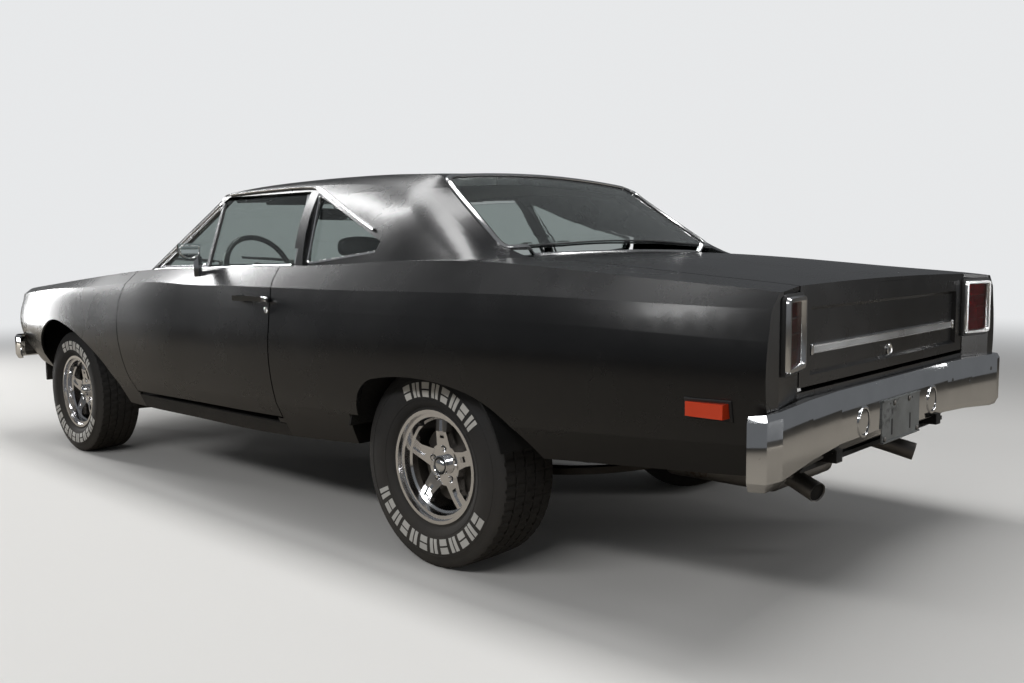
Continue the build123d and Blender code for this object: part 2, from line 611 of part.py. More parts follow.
# Floor, sills, wheel houses and boot floor
wheel_house_spans = ((-925, -550), (550, 925))
sill = common(body, box_between((SILL_REAR_X, 740, 200), (SILL_FRONT_X, OUTSIDE_Y, 408)))
exhaust_hanger = Span(60, 90, 240, 260, EXHAUST_LEVEL + PIPE_RADIUS + SEAT_GAP, FLOOR_Z - 13)
bracket_rear_x = DECK_REAR_X - 12
rear_brackets = [
    Span(bracket_rear_x, -2400, 380, 420, 470, 498),
    Span(bracket_rear_x, DECK_REAR_X - 3, 380, 420, 470, 580),
    Span(REAR_BUMPER_X + BUMPER_SHEET + SEAT_GAP, DECK_REAR_X - 3, 380, 420, 540, 580),
]
with BuildPart() as underbody:
    add(side_block(FLOOR_LINE, DOOR_INNER_Y - SEAT_GAP, SEAT_GAP - DOOR_INNER_Y))
    add(paired_boxes([Span(-2500, -780, BOOT_EDGE_Y, 760, 340, 530)]), mode=Mode.SUBTRACT)
    add(box_between((-960, -TUNNEL_HALF - 8, 360), (FIREWALL_X - 2, TUNNEL_HALF + 8, 480)))
    add(box_between((-1100, 6 - TUNNEL_HALF, 340), (FIREWALL_X, TUNNEL_HALF - 6, 466)), mode=Mode.SUBTRACT)
    for y0, y1 in wheel_house_spans:
        inner_y0 = y0 + 10 if y0 > 0 else y0
        inner_y1 = y1 - 10 if y0 < 0 else y1
        drum = less(disc(REAR_AXLE_X, y0, y1, REAR_TYRE_RADIUS, WHEEL_HOUSE_RADIUS + WHEEL_HOUSE_WALL),
                    disc(REAR_AXLE_X, inner_y0, inner_y1, REAR_TYRE_RADIUS, WHEEL_HOUSE_RADIUS))
        add(common(drum, box_between((-1740, -OUTSIDE_Y, 460), (-900, OUTSIDE_Y, 900))))
    add(paired_boxes([exhaust_hanger]))
    add(paired_boxes(rear_brackets))
    add(sill)
    mirror(sill, about=Plane.XZ)
write(underbody.part, "underbody")


# Wheels
def axle_plane(x, radius):
    """The plane of the wheel's section, local X to the car's left and local Y up from the axle."""
    return Plane(origin=(x, 0, radius), x_dir=(0, 1, 0), z_dir=(1, 0, 0))


def turned(points, x, radius):
    """A section of straight runs turned round the axle."""
    with BuildPart() as ring:
        with BuildSketch(axle_plane(x, radius)):
            with BuildLine():
                Polyline(*points, close=True)
            make_face()
        revolve(axis=Axis((x, 0, radius), (0, 1, 0)))
    return ring.part


def tyre_part(wheel):
    """A tyre with a bulged wall and a level tread, open in the middle for its rim."""
    half = wheel.tyre_width / 2
    wall = [(half - BEAD_INSET, BEAD_RADIUS), (half, (BEAD_RADIUS + wheel.tyre_radius) / 2),
            (half - 8, wheel.tyre_radius - 34), (half - 34, wheel.tyre_radius)]
    inner_wall = [(-out, reach) for out, reach in reversed(wall)]
    seat = [(BEAD_INSET - half, RIM_SEAT_RADIUS + SEAT_GAP), (half - BEAD_INSET, RIM_SEAT_RADIUS + SEAT_GAP)]
    section = [(wheel.y + out, reach) for out, reach in wall + inner_wall + seat]
    return turned(section, wheel.x, wheel.tyre_radius)


# Sections of a spoke: distance from the axle, breadth, depth, and how far its face lies behind the rim's face
SpokeSection = namedtuple("SpokeSection", "reach breadth depth face")
SPOKE = [SpokeSection(HUB_RADIUS - 12, 66, 34, 44), SpokeSection(118, 50, 26, 34), SpokeSection(170, 56, 24, 40)]
SPOKE_CHANNEL = [SpokeSection(HUB_RADIUS + 6, 20, 9, 42), SpokeSection(118, 20, 9, 32), SpokeSection(158, 24, 9, 36)]


def spoke_part(table, wheel, face_y, angle):
    """One spoke, or the channel along it, as a loft out from the hub."""
    out = (cos(angle), 0, sin(angle))
    sideways = (-sin(angle), 0, cos(angle))
    sections = []
    for s in table:
        centre = (wheel.x + out[0] * s.reach, face_y - s.face - s.depth / 2, wheel.tyre_radius + out[2] * s.reach)
        with BuildSketch(Plane(origin=centre, x_dir=sideways, z_dir=out)) as section:
            Rectangle(s.breadth, s.depth)
        sections.append(section.sketch.face())
    with BuildPart() as spoke:
        loft(sections, ruled=True)
    return spoke.part


def rim_part(wheel):
    """A five-spoke rim: a stepped barrel, channelled spokes, and a hub with lug pockets and a centre cap."""
    half = wheel.tyre_width / 2 - BEAD_INSET
    face_y = wheel.y + half
    back_y = wheel.y - half
    lip = RIM_FLANGE_RADIUS - 8
    barrel = [(face_y + 6, lip), (face_y + 6, 187), (face_y - 10, 184), (face_y - 12, 172), (face_y - 34, 168),
              (face_y - 40, 160), (back_y - 6, 160), (back_y - 6, lip), (back_y - SEAT_GAP, lip),
              (back_y - SEAT_GAP, RIM_SEAT_RADIUS), (face_y + SEAT_GAP, RIM_SEAT_RADIUS), (face_y + SEAT_GAP, lip)]
    angles = [radians(90 + spoke * 360 / SPOKES) for spoke in range(SPOKES)]
    with BuildPart() as rim:
        add(turned(barrel, wheel.x, wheel.tyre_radius))
        add(disc(wheel.x, face_y - HUB_DEPTH, face_y - HUB_FACE_DEPTH, wheel.tyre_radius, HUB_RADIUS))
        for angle in angles:
            add(spoke_part(SPOKE, wheel, face_y, angle))
        for angle in angles:
            add(spoke_part(SPOKE_CHANNEL, wheel, face_y, angle), mode=Mode.SUBTRACT)
            lug_x = wheel.x + BOLT_CIRCLE_RADIUS * cos(angle)
            lug_z = wheel.tyre_radius + BOLT_CIRCLE_RADIUS * sin(angle)
            add(disc(lug_x, face_y - HUB_FACE_DEPTH - LUG_POCKET_DEPTH, face_y, lug_z, LUG_POCKET_RADIUS),
                mode=Mode.SUBTRACT)
        add(disc(wheel.x, face_y - HUB_FACE_DEPTH - 6, face_y - CAP_DEPTH, wheel.tyre_radius, CAP_RADIUS))
        add(disc(wheel.x, face_y - HUB_DEPTH - 40, face_y - HUB_DEPTH + SPINDLE_REACH, wheel.tyre_radius,
                 SPINDLE_RADIUS + SEAT_GAP), mode=Mode.SUBTRACT)
    return rim.part


def drum_face_y(wheel):
    """Where the hub's back meets the brake drum."""
    return wheel.y + wheel.tyre_width / 2 - BEAD_INSET - HUB_DEPTH


def drum_part(wheel):
    """A brake drum behind the rim, open at its back."""
    front_y = drum_face_y(wheel)
    back_y = front_y - DRUM_WIDTH
    return less(disc(wheel.x, back_y, front_y, wheel.tyre_radius, DRUM_RADIUS),
                disc(wheel.x, back_y, front_y - 14, wheel.tyre_radius, DRUM_RADIUS - 12),
                disc(wheel.x, front_y - 20, front_y, wheel.tyre_radius, SPINDLE_RADIUS + SEAT_GAP))


WheelPlace = namedtuple("WheelPlace", "name x y tyre_radius tyre_width")
FRONT_WHEEL = WheelPlace("front", FRONT_AXLE_X, FRONT_WHEEL_Y, FRONT_TYRE_RADIUS, FRONT_TYRE_WIDTH)
REAR_WHEEL = WheelPlace("rear", REAR_AXLE_X, REAR_WHEEL_Y, REAR_TYRE_RADIUS, REAR_TYRE_WIDTH)
for wheel in (FRONT_WHEEL, REAR_WHEEL):
    write_pair(tyre_part(wheel), f"tyre_{wheel.name}")
    write_pair(rim_part(wheel), f"rim_{wheel.name}")
    write_pair(drum_part(wheel), f"brake_drum_{wheel.name}")

# Steering knuckles with spindles, backing plates and kingpins
front_plate_y = drum_face_y(FRONT_WHEEL) - DRUM_WIDTH - RUNNING_GAP
rear_plate_y = drum_face_y(REAR_WHEEL) - DRUM_WIDTH - RUNNING_GAP
kingpin_y = front_plate_y - KINGPIN_INSET
with BuildPart() as knuckle:
    add(disc(FRONT_AXLE_X, front_plate_y - 8, front_plate_y, FRONT_TYRE_RADIUS, DRUM_RADIUS - 4))
    add(disc(FRONT_AXLE_X, kingpin_y, drum_face_y(FRONT_WHEEL) + SPINDLE_REACH - SEAT_GAP, FRONT_TYRE_RADIUS,
             SPINDLE_RADIUS))
    with Locations((FRONT_AXLE_X, kingpin_y, FRONT_TYRE_RADIUS)):
        Cylinder(KINGPIN_RADIUS, 2 * ARM_LEVEL - 2 * SEAT_GAP)
write_pair(knuckle.part, "knuckle")

# Control arms that carry the knuckles between their ball joints
arm_root_y = APRON_Y + APRON_PLATE + SEAT_GAP
with BuildPart() as arms:
    for level in (-ARM_LEVEL - ARM_THICKNESS, ARM_LEVEL):
        with BuildSketch(Plane.XY.offset(FRONT_TYRE_RADIUS + level)):
            with BuildLine():
                Polyline((FRONT_AXLE_X - BALL_JOINT_RADIUS, kingpin_y), (FRONT_AXLE_X + BALL_JOINT_RADIUS, kingpin_y),
                         (FRONT_AXLE_X + ARM_ROOT_HALF, arm_root_y), (FRONT_AXLE_X - ARM_ROOT_HALF, arm_root_y),
                         close=True)
            make_face()
            with Locations((FRONT_AXLE_X, kingpin_y)):
                Circle(BALL_JOINT_RADIUS)
        extrude(amount=ARM_THICKNESS)
    mirror(about=Plane.XZ)
write(arms.part, "suspension_front")

# Rear axle with its differential and backing plates
shaft_y = drum_face_y(REAR_WHEEL) + SPINDLE_REACH - SEAT_GAP
with BuildPart() as rear_axle:
    add(disc(REAR_AXLE_X, -rear_plate_y, rear_plate_y, REAR_TYRE_RADIUS, AXLE_TUBE_RADIUS))
    add(disc(REAR_AXLE_X, -shaft_y, shaft_y, REAR_TYRE_RADIUS, SPINDLE_RADIUS))
    with Locations((REAR_AXLE_X, 0, REAR_TYRE_RADIUS)):
        Sphere(DIFFERENTIAL_RADIUS)
    for plate_y in (8 - rear_plate_y, rear_plate_y):
        add(disc(REAR_AXLE_X, plate_y - 8, plate_y, REAR_TYRE_RADIUS, DRUM_RADIUS - 4))
write(rear_axle.part, "rear_axle")

# Leaf springs from the floor, under the axle and up to the boot floor
spring_tops = [(REAR_AXLE_X + SPRING_FRONT, 352 - SEAT_GAP),
               (REAR_AXLE_X, REAR_TYRE_RADIUS - AXLE_TUBE_RADIUS - SEAT_GAP),
               (REAR_AXLE_X - SPRING_REAR, 460 - SEAT_GAP)]
with BuildPart() as spring:
    with BuildSketch(Plane.XZ.offset(-SPRING_Y - SPRING_WIDTH)):
        with BuildLine():
            top_leaf = ThreePointArc(*spring_tops)
            low_leaf = ThreePointArc(*[(x, z - LEAF_STACK) for x, z in spring_tops])
            Line(low_leaf @ 0, top_leaf @ 0)
            Line(low_leaf @ 1, top_leaf @ 1)
        make_face()
    extrude(amount=SPRING_WIDTH)
write_pair(spring.part, "leaf_spring")

# Engine with its gearbox, driveshaft, exhaust and tank
with BuildPart() as engine:
    add(box_between((1000, -260, RAIL_LOW + SEAT_GAP), (1700, 260, 820)))
    add(box_between((GEARBOX_REAR_X, -100, 345), (1001, 100, 460)))
write(engine.part, "engine")

shaft_rear_x = REAR_AXLE_X + DIFFERENTIAL_RADIUS + SEAT_GAP
write(lamp_disc(shaft_rear_x, GEARBOX_REAR_X - SEAT_GAP, 0, SHAFT_LEVEL, SHAFT_RADIUS), "driveshaft")

with BuildPart() as pipe:
    with BuildLine():
        route = FilletPolyline((1100, 300, 290), (700, 250, EXHAUST_LEVEL), (-800, 250, EXHAUST_LEVEL),
                               (-1050, 250, 452), (-1540, 250, 452), (-1720, 250, 360), (-2300, 330, 410),
                               (-2454, 380, 366), radius=60)
    with BuildSketch(Plane(origin=route @ 0, z_dir=route % 0)):
        Circle(PIPE_RADIUS)
    sweep()
    with BuildSketch(across(-540)):
        with Locations((250, EXHAUST_LEVEL)):
            Ellipse(88, 52)
    extrude(amount=560)
with BuildPart() as exhaust:
    add(pipe.part)
    mirror(pipe.part, about=Plane.XZ)
write(exhaust.part, "exhaust")

with BuildPart() as tank:
    add(box_between((-2240, -220, 290), (-1800, 220, 460 - SEAT_GAP)))
    fillet(tank.edges(), 30)
write(tank.part, "fuel_tank")

# Tail panel, bent forward between the lamps, with the lamps on its outer posts
tail_outer_x = TAIL_X + 4
tail_slope = (tail_outer_x - DECK_REAR_X) / (TAIL_HALF_WIDTH - TAIL_BEND_Y)


def tail_face_x(y):
    """Where the tail panel's rear face lies at a distance y from the middle of the car."""
    return DECK_REAR_X + tail_slope * (y - TAIL_BEND_Y)


def tail_strip(inner_y, low, high):
    """The left half of the tail panel from inner_y outwards, between two heights."""
    outline = [(DECK_REAR_X, inner_y), (DECK_REAR_X, TAIL_BEND_Y), (tail_face_x(OUTSIDE_Y), OUTSIDE_Y)]
    front = [(x + TAIL_PLATE, y) for x, y in reversed(outline)]
    return common(plan_block(outline + front, low, high), seat_form)


with BuildPart() as tail_panel:
    add(tail_strip(0, TAIL_LOW, TAIL_SPLIT))
    add(tail_strip(DECK_HALF_WIDTH + 8, TAIL_SPLIT, TAIL_HIGH))
    mirror(about=Plane.XZ)
write(tail_panel.part, "tail_panel")

lamp_back = [(tail_face_x(y) - SEAT_GAP, y) for y in (LAMP_INNER_Y, LAMP_OUTER_Y)]
lamp_front = [(x - LAMP_THICKNESS, y) for x, y in reversed(lamp_back)]
with BuildPart() as tail_lamps:
    add(plan_block(lamp_back + lamp_front, LAMP_LOW, LAMP_HIGH))
    mirror(about=Plane.XZ)
write(tail_lamps.part, "tail_lamps")

marker = Span(MARKER_REAR_X, MARKER_REAR_X + MARKER_LENGTH, 880, 942, MARKER_Z - MARKER_HEIGHT / 2,
              MARKER_Z + MARKER_HEIGHT / 2)
write(less(paired_boxes([marker]), body), "marker_lamps")

# Bumpers: sections of pressed sheet along the bar, from the middle round to the end on the car's left. Columns:
# place of the face, the way it faces in degrees from forwards, top, bottom, and depth of the upper and lower lips.
BumperStation = namedtuple("BumperStation", "x y faces top bottom shelf lip")
REAR_BUMPER = [
    BumperStation(REAR_BUMPER_X, 0, 180, 684, 512, 24, 16),
    BumperStation(REAR_BUMPER_X, 430, 180, 684, 508, 24, 16),
    BumperStation(REAR_BUMPER_X - 14, 640, 176, 684, 498, 36, 22),
    BumperStation(REAR_BUMPER_X - 36, 853, 166, 682, 484, 24, 22),
    BumperStation(REAR_BUMPER_X - 26, 916, 132, 680, 484, 16, 14),
    BumperStation(REAR_BUMPER_X + 12, 948, 98, 678, 488, 15, 12),
]
FRONT_BUMPER = [
    BumperStation(FRONT_BUMPER_X, 0, 0, 602, 470, 24, 16),
    BumperStation(FRONT_BUMPER_X, 430, 0, 602, 470, 24, 16),
    BumperStation(FRONT_BUMPER_X - 10, 640, 8, 604, 470, 18, 16),
    BumperStation(FRONT_BUMPER_X - 36, 800, 30, 608, 470, 15, 12),
    BumperStation(FRONT_BUMPER_X - 92, 862, 52, 612, 472, 15, 12),
    BumperStation(FRONT_BUMPER_X - 172, 898, 68, 616, 474, 15, 12),
    BumperStation(FRONT_BUMPER_X - 262, 920, 78, 618, 478, 15, 12),
    BumperStation(FRONT_BUMPER_X - 342, 930, 84, 620, 486, 15, 12),
]


def bumper_section(s):
    """One section of the pressed bar: an upright face between two lips that turn in."""
    out = Vector(cos(radians(s.faces)), sin(radians(s.faces)), 0)
    middle = (s.top + s.bottom) / 2
    sheet = BUMPER_SHEET
    outer = [(-s.shelf, s.top), (-10, s.top), (0, s.top - 16), (0, middle), (0, s.bottom + 24), (-s.lip, s.bottom)]
    inner = [(-s.lip - 2, s.bottom + sheet), (-sheet, s.bottom + 28), (-sheet, middle), (-sheet, s.top - 19),
             (-10 - sheet / 2, s.top - sheet), (-s.shelf, s.top - sheet)]
    with BuildSketch(Plane(origin=(s.x, s.y, 0), x_dir=out, z_dir=out.cross(Vector(0, 0, 1)))) as section:
        with BuildLine():
            Polyline(*outer, *inner, close=True)
        make_face()
    return section.sketch.face()


def bumper_part(stations):
    """The whole bar from its left half and the mirrored right half."""
    with BuildPart() as bar:
        loft([bumper_section(s) for s in stations], ruled=True)
        mirror(about=Plane.XZ)
    return bar.part


with BuildPart() as bumper_rear:
    add(bumper_part(REAR_BUMPER))
    with BuildSketch(across(REAR_BUMPER_X - 20)):
        with Locations((-BUMPER_OVAL_Y, BUMPER_OVAL_Z), (BUMPER_OVAL_Y, BUMPER_OVAL_Z)):
            SlotOverall(64, 40)
    extrude(amount=60, mode=Mode.SUBTRACT)
write(bumper_rear.part, "bumper_rear")
write(bumper_part(FRONT_BUMPER), "bumper_front")

# The plate bracket on the rear bumper, with the two upper holes of a standard plate
bracket_face_x = REAR_BUMPER_X - SEAT_GAP - BRACKET_THICKNESS
with BuildPart() as plate_bracket:
    add(box_between((bracket_face_x, -BRACKET_HALF_WIDTH, BRACKET_LOW),
                    (REAR_BUMPER_X - SEAT_GAP, BRACKET_HALF_WIDTH, BRACKET_HIGH)))
    with BuildSketch(across(bracket_face_x)):
        with Locations((-PLATE_HOLE_SPACING / 2, PLATE_HOLE_Z), (PLATE_HOLE_SPACING / 2, PLATE_HOLE_Z)):
            Circle(PLATE_HOLE_RADIUS)
    extrude(amount=BRACKET_THICKNESS, mode=Mode.SUBTRACT)
write(plate_bracket.part, "plate_bracket")

# Glass
write(common(less(roof_form(GLASS_SET_IN), roof_form(GLASS_SET_IN + GLASS)),
             plan_block(BACKLIGHT_PLAN, BACKLIGHT_LOW + 150, ROOF_TOP, grow=-SEAT_GAP)), "rear_window")

# Edges of the windshield: height, its corner along and across the car, and its middle along the car
ScreenEdge = namedtuple("ScreenEdge", "z corner_x corner_y middle_x")
SCREEN_EDGES = [ScreenEdge(1000, 940, 706, 1014), ScreenEdge(1350, 416, 576, 466)]


def screen_section(edge):
    """One level section of the windshield."""
    with BuildSketch(Plane.XY.offset(edge.z)) as section:
        with BuildLine():
            front = ThreePointArc((edge.corner_x, edge.corner_y), (edge.middle_x, 0), (edge.corner_x, -edge.corner_y))
            back = ThreePointArc((edge.corner_x - GLASS, edge.corner_y), (edge.middle_x - GLASS, 0),
                                 (edge.corner_x - GLASS, -edge.corner_y))
            Line(front @ 0, back @ 0)
            Line(front @ 1, back @ 1)
        make_face()
    return section.sketch.face()


with BuildPart() as windshield:
    loft([screen_section(edge) for edge in SCREEN_EDGES], ruled=True)
    add(above_body, mode=Mode.SUBTRACT)
write(windshield.part, "windshield")

# Side glass stands on the belt and leans in to the roof
glass_rise = HEAD_GLASS_Z - BELT_GLASS_Z
glass_lean = BELT_GLASS_Y - HEAD_GLASS_Y
glass_stretch = sqrt(glass_rise ** 2 + glass_lean ** 2) / glass_rise
glass_plane = Plane(origin=(0, BELT_GLASS_Y, BELT_GLASS_Z), x_dir=(-1, 0, 0), z_dir=(0, glass_rise, glass_lean))


def side_glass(points):
    """Side-view points laid on the leaning plane of the side glass and cut to the belt."""
    laid = [(-x, (z - BELT_GLASS_Z) * glass_stretch) for x, z in points]
    return less(outline_block(laid, glass_plane.offset(-GLASS), GLASS), above_body)


write_pair(side_glass(DOOR_GLASS), "door_glass")
write_pair(side_glass(QUARTER_GLASS), "quarter_glass")

# Dashboard with the steering column, and the steering wheel
column_axis = (-cos(radians(COLUMN_ANGLE)), 0, sin(radians(COLUMN_ANGLE)))
wheel_plane = Plane(origin=WHEEL_CENTRE, x_dir=(0, 1, 0), z_dir=column_axis)
with BuildPart() as dashboard:
    add(side_block(DASH_PROFILE, 700, -700))
    with BuildSketch(wheel_plane.offset(-SEAT_GAP)):
        Circle(26)
    extrude(amount=-200)
write(dashboard.part, "dashboard")

with BuildPart() as steering_wheel:
    with BuildSketch(wheel_plane):
        Circle(WHEEL_RADIUS)
        Circle(WHEEL_RADIUS - 24, mode=Mode.SUBTRACT)
    extrude(amount=20)
    with BuildSketch(wheel_plane):
        Rectangle(2 * WHEEL_RADIUS - 30, 34)
        Circle(36)
    extrude(amount=16)
write(steering_wheel.part, "steering_wheel")

# Seats: the front pair with base, cushion, backrest and headrest, then the rear bench
seat_spans = [
    Span(-230, 250, SEAT_INNER_Y + 40, SEAT_OUTER_Y - 40, FLOOR_Z + SEAT_GAP, 480),
    Span(-250, 300, SEAT_INNER_Y, SEAT_OUTER_Y, 470, 620),
    Span(-340, -220, SEAT_INNER_Y, SEAT_OUTER_Y, 560, 1000),
    Span(-340, -260, SEAT_INNER_Y + 130, SEAT_OUTER_Y - 130, 1000, 1130),
]
write(paired_boxes(seat_spans), "seats_front")
write(less(side_block(REAR_CUSHION, REAR_SEAT_HALF, -REAR_SEAT_HALF),
           box_between((-970, -TUNNEL_HALF - 12, 300), (-500, TUNNEL_HALF + 12, 484))), "rear_seat_cushion")
write(side_block(REAR_BACKREST, REAR_SEAT_HALF, -REAR_SEAT_HALF), "rear_seat_back")

# Panel between the rear window and the deck lid, with the shelf behind the rear seat and the lid's hinge arms
lid_hinges = common(paired_boxes([Span(-1700, -1650, 500, 540, 1000, 1080), Span(-1700, -1460, 500, 540, 1000, 1030)]),
                    seat_form)
with BuildPart() as parcel_shelf:
    add(skin)
    add(box_between((DECK_FRONT_X + PANEL_GAP, -DECK_HALF_WIDTH, 900), (-1440, DECK_HALF_WIDTH, 1200)),
        mode=Mode.INTERSECT)
    add(box_between((-1470, -DECK_HALF_WIDTH, 986), (-1082, DECK_HALF_WIDTH, 998)))
    add(box_between((-1470, -DECK_HALF_WIDTH, 986), (-1458, DECK_HALF_WIDTH, 1064)))
    add(lid_hinges)
write(parcel_shelf.part, "parcel_shelf")
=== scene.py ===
"""Looks of a black two-door coupe of the late nineteen-sixties: finishes, trim, tyres, cabin and studio."""

from __future__ import annotations

import json
import logging
import math
from dataclasses import dataclass, field
from enum import Enum
from typing import Callable, Optional, Sequence

import bmesh
import bpy
from mathutils import Matrix, Vector
from mathutils.bvhtree import BVHTree

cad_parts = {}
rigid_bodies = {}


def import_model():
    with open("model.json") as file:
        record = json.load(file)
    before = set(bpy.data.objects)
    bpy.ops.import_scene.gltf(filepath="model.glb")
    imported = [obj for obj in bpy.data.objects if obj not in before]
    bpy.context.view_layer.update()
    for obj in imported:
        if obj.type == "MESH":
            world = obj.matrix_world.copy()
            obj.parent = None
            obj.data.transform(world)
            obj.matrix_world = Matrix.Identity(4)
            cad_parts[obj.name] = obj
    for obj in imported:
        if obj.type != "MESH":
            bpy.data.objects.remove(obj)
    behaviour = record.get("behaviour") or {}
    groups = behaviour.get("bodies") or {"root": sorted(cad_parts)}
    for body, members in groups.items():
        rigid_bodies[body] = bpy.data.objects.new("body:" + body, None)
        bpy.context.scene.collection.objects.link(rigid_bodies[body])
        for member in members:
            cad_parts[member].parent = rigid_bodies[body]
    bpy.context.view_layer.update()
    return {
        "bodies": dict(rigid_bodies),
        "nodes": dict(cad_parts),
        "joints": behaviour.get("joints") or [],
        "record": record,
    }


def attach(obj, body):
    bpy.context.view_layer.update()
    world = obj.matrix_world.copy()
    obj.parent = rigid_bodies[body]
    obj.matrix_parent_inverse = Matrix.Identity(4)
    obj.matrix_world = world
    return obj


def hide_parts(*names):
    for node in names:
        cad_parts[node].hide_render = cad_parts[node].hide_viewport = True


LOG = logging.getLogger("coupe")

Colour = tuple[float, float, float]
Point = tuple[float, float, float]
Change = Callable[[Vector], None]

# The photograph's frame and the camera that took it, in metres and radians
FRAME_WIDTH = 1024
FOCAL_PIXELS = 952.37
SENSOR_WIDTH = 36.0
CAMERA_PLACE = (-3.6955, 3.0236, 1.0924)
CAMERA_YAW = -0.8181
CAMERA_PITCH = -0.0959
CAMERA_ROLL = 0.0100

# Running gear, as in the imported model
FRONT_AXLE_X = 1.653
REAR_AXLE_X = -1.293
FRONT_TYRE_RADIUS = 0.334
REAR_TYRE_RADIUS = 0.351


class Side(Enum):
    """The car's two sides, with the sign of Y on each."""

    LEFT = 1
    RIGHT = -1

    @property
    def word(self) -> str:
        """The side's name as the nodes spell it."""
        return self.name.lower()


class Tree:
    """A shader node tree with short ways to add and join nodes."""

    def __init__(self, tree: bpy.types.NodeTree) -> None:
        """Take over a node tree.

        Args:
            tree: the tree of a material, a world or a group.
        """
        self.tree = tree

    def add(self, kind: str, **inputs: object) -> bpy.types.Node:
        """Add a node and set its inputs or properties.

        Args:
            kind: the node's type, without its ShaderNode prefix.
            inputs: values by name, with underscores for spaces, or a property of the node.

        Returns:
            The new node.
        """
        node = self.tree.nodes.new("ShaderNode" + kind)
        for name, value in inputs.items():
            if hasattr(node, name):
                setattr(node, name, value)
                continue
            socket = node.inputs[int(name[1:])] if name.startswith("_") else node.inputs[name.replace("_",
                                                                                                      " ")]
            if isinstance(value, bpy.types.NodeSocket):
                self.tree.links.new(value, socket)
            elif socket.type == "RGBA" and len(value) == 3:
                socket.default_value = (*value, 1.0)
            else:
                socket.default_value = value
        return node

    def math(self, operation: str, first: object, second: object = 0.5) -> bpy.types.NodeSocket:
        """Add a Math node.

        Args:
            operation: the node's operation.
            first: a socket or a number.
            second: a socket or a number.

        Returns:
            The node's result.
        """
        return self.add("Math", operation=operation, _0=first, _1=second).outputs[0]

    def blend(self, mask: object, first: object, second: object) -> bpy.types.NodeSocket:
        """Blend two colours.

        Args:
            mask: a socket or a number, 0 for the first colour and 1 for the second.
            first: a socket or a colour.
            second: a socket or a colour.

        Returns:
            The blended colour.
        """
        node = self.add("Mix", data_type="RGBA")
        for index, value in ((0, mask), (6, first), (7, second)):
            socket = node.inputs[index]
            if isinstance(value, bpy.types.NodeSocket):
                self.tree.links.new(value, socket)
            elif index == 0:
                socket.default_value = value
            else:
                socket.default_value = (*value, 1.0)
        return node.outputs[2]

    def spread(self, value: object, low: float, high: float) -> bpy.types.NodeSocket:
        """Map a value from 0 to 1 onto a range.

        Args:
            value: the socket to map.
            low: the result at 0.
            high: the result at 1.

        Returns:
            The mapped value.
        """
        return self.add("MapRange", Value=value, To_Min=low, To_Max=high).outputs[0]


def new_group(name: str, inputs: dict[str, float], outputs: Sequence[str]) -> tuple[Tree, dict,
                                                                                    bpy.types.Node]:
    """Start a shader node group whose sockets are all plain values.

    Args:
        name: the group's name.
        inputs: each input's name and default.
        outputs: the outputs' names.

    Returns:
        The group's tree, its input sockets by name, and its output node.
    """
    group = bpy.data.node_groups.new(name, "ShaderNodeTree")
    for socket_name, default in inputs.items():
        socket = group.interface.new_socket(socket_name, in_out="INPUT", socket_type="NodeSocketFloat")
        socket.default_value = default
    for socket_name in outputs:
        group.interface.new_socket(socket_name, in_out="OUTPUT", socket_type="NodeSocketFloat")
    entry = group.nodes.new("NodeGroupInput")
    leave = group.nodes.new("NodeGroupOutput")
    return Tree(group), {socket_name: entry.outputs[socket_name] for socket_name in inputs}, leave


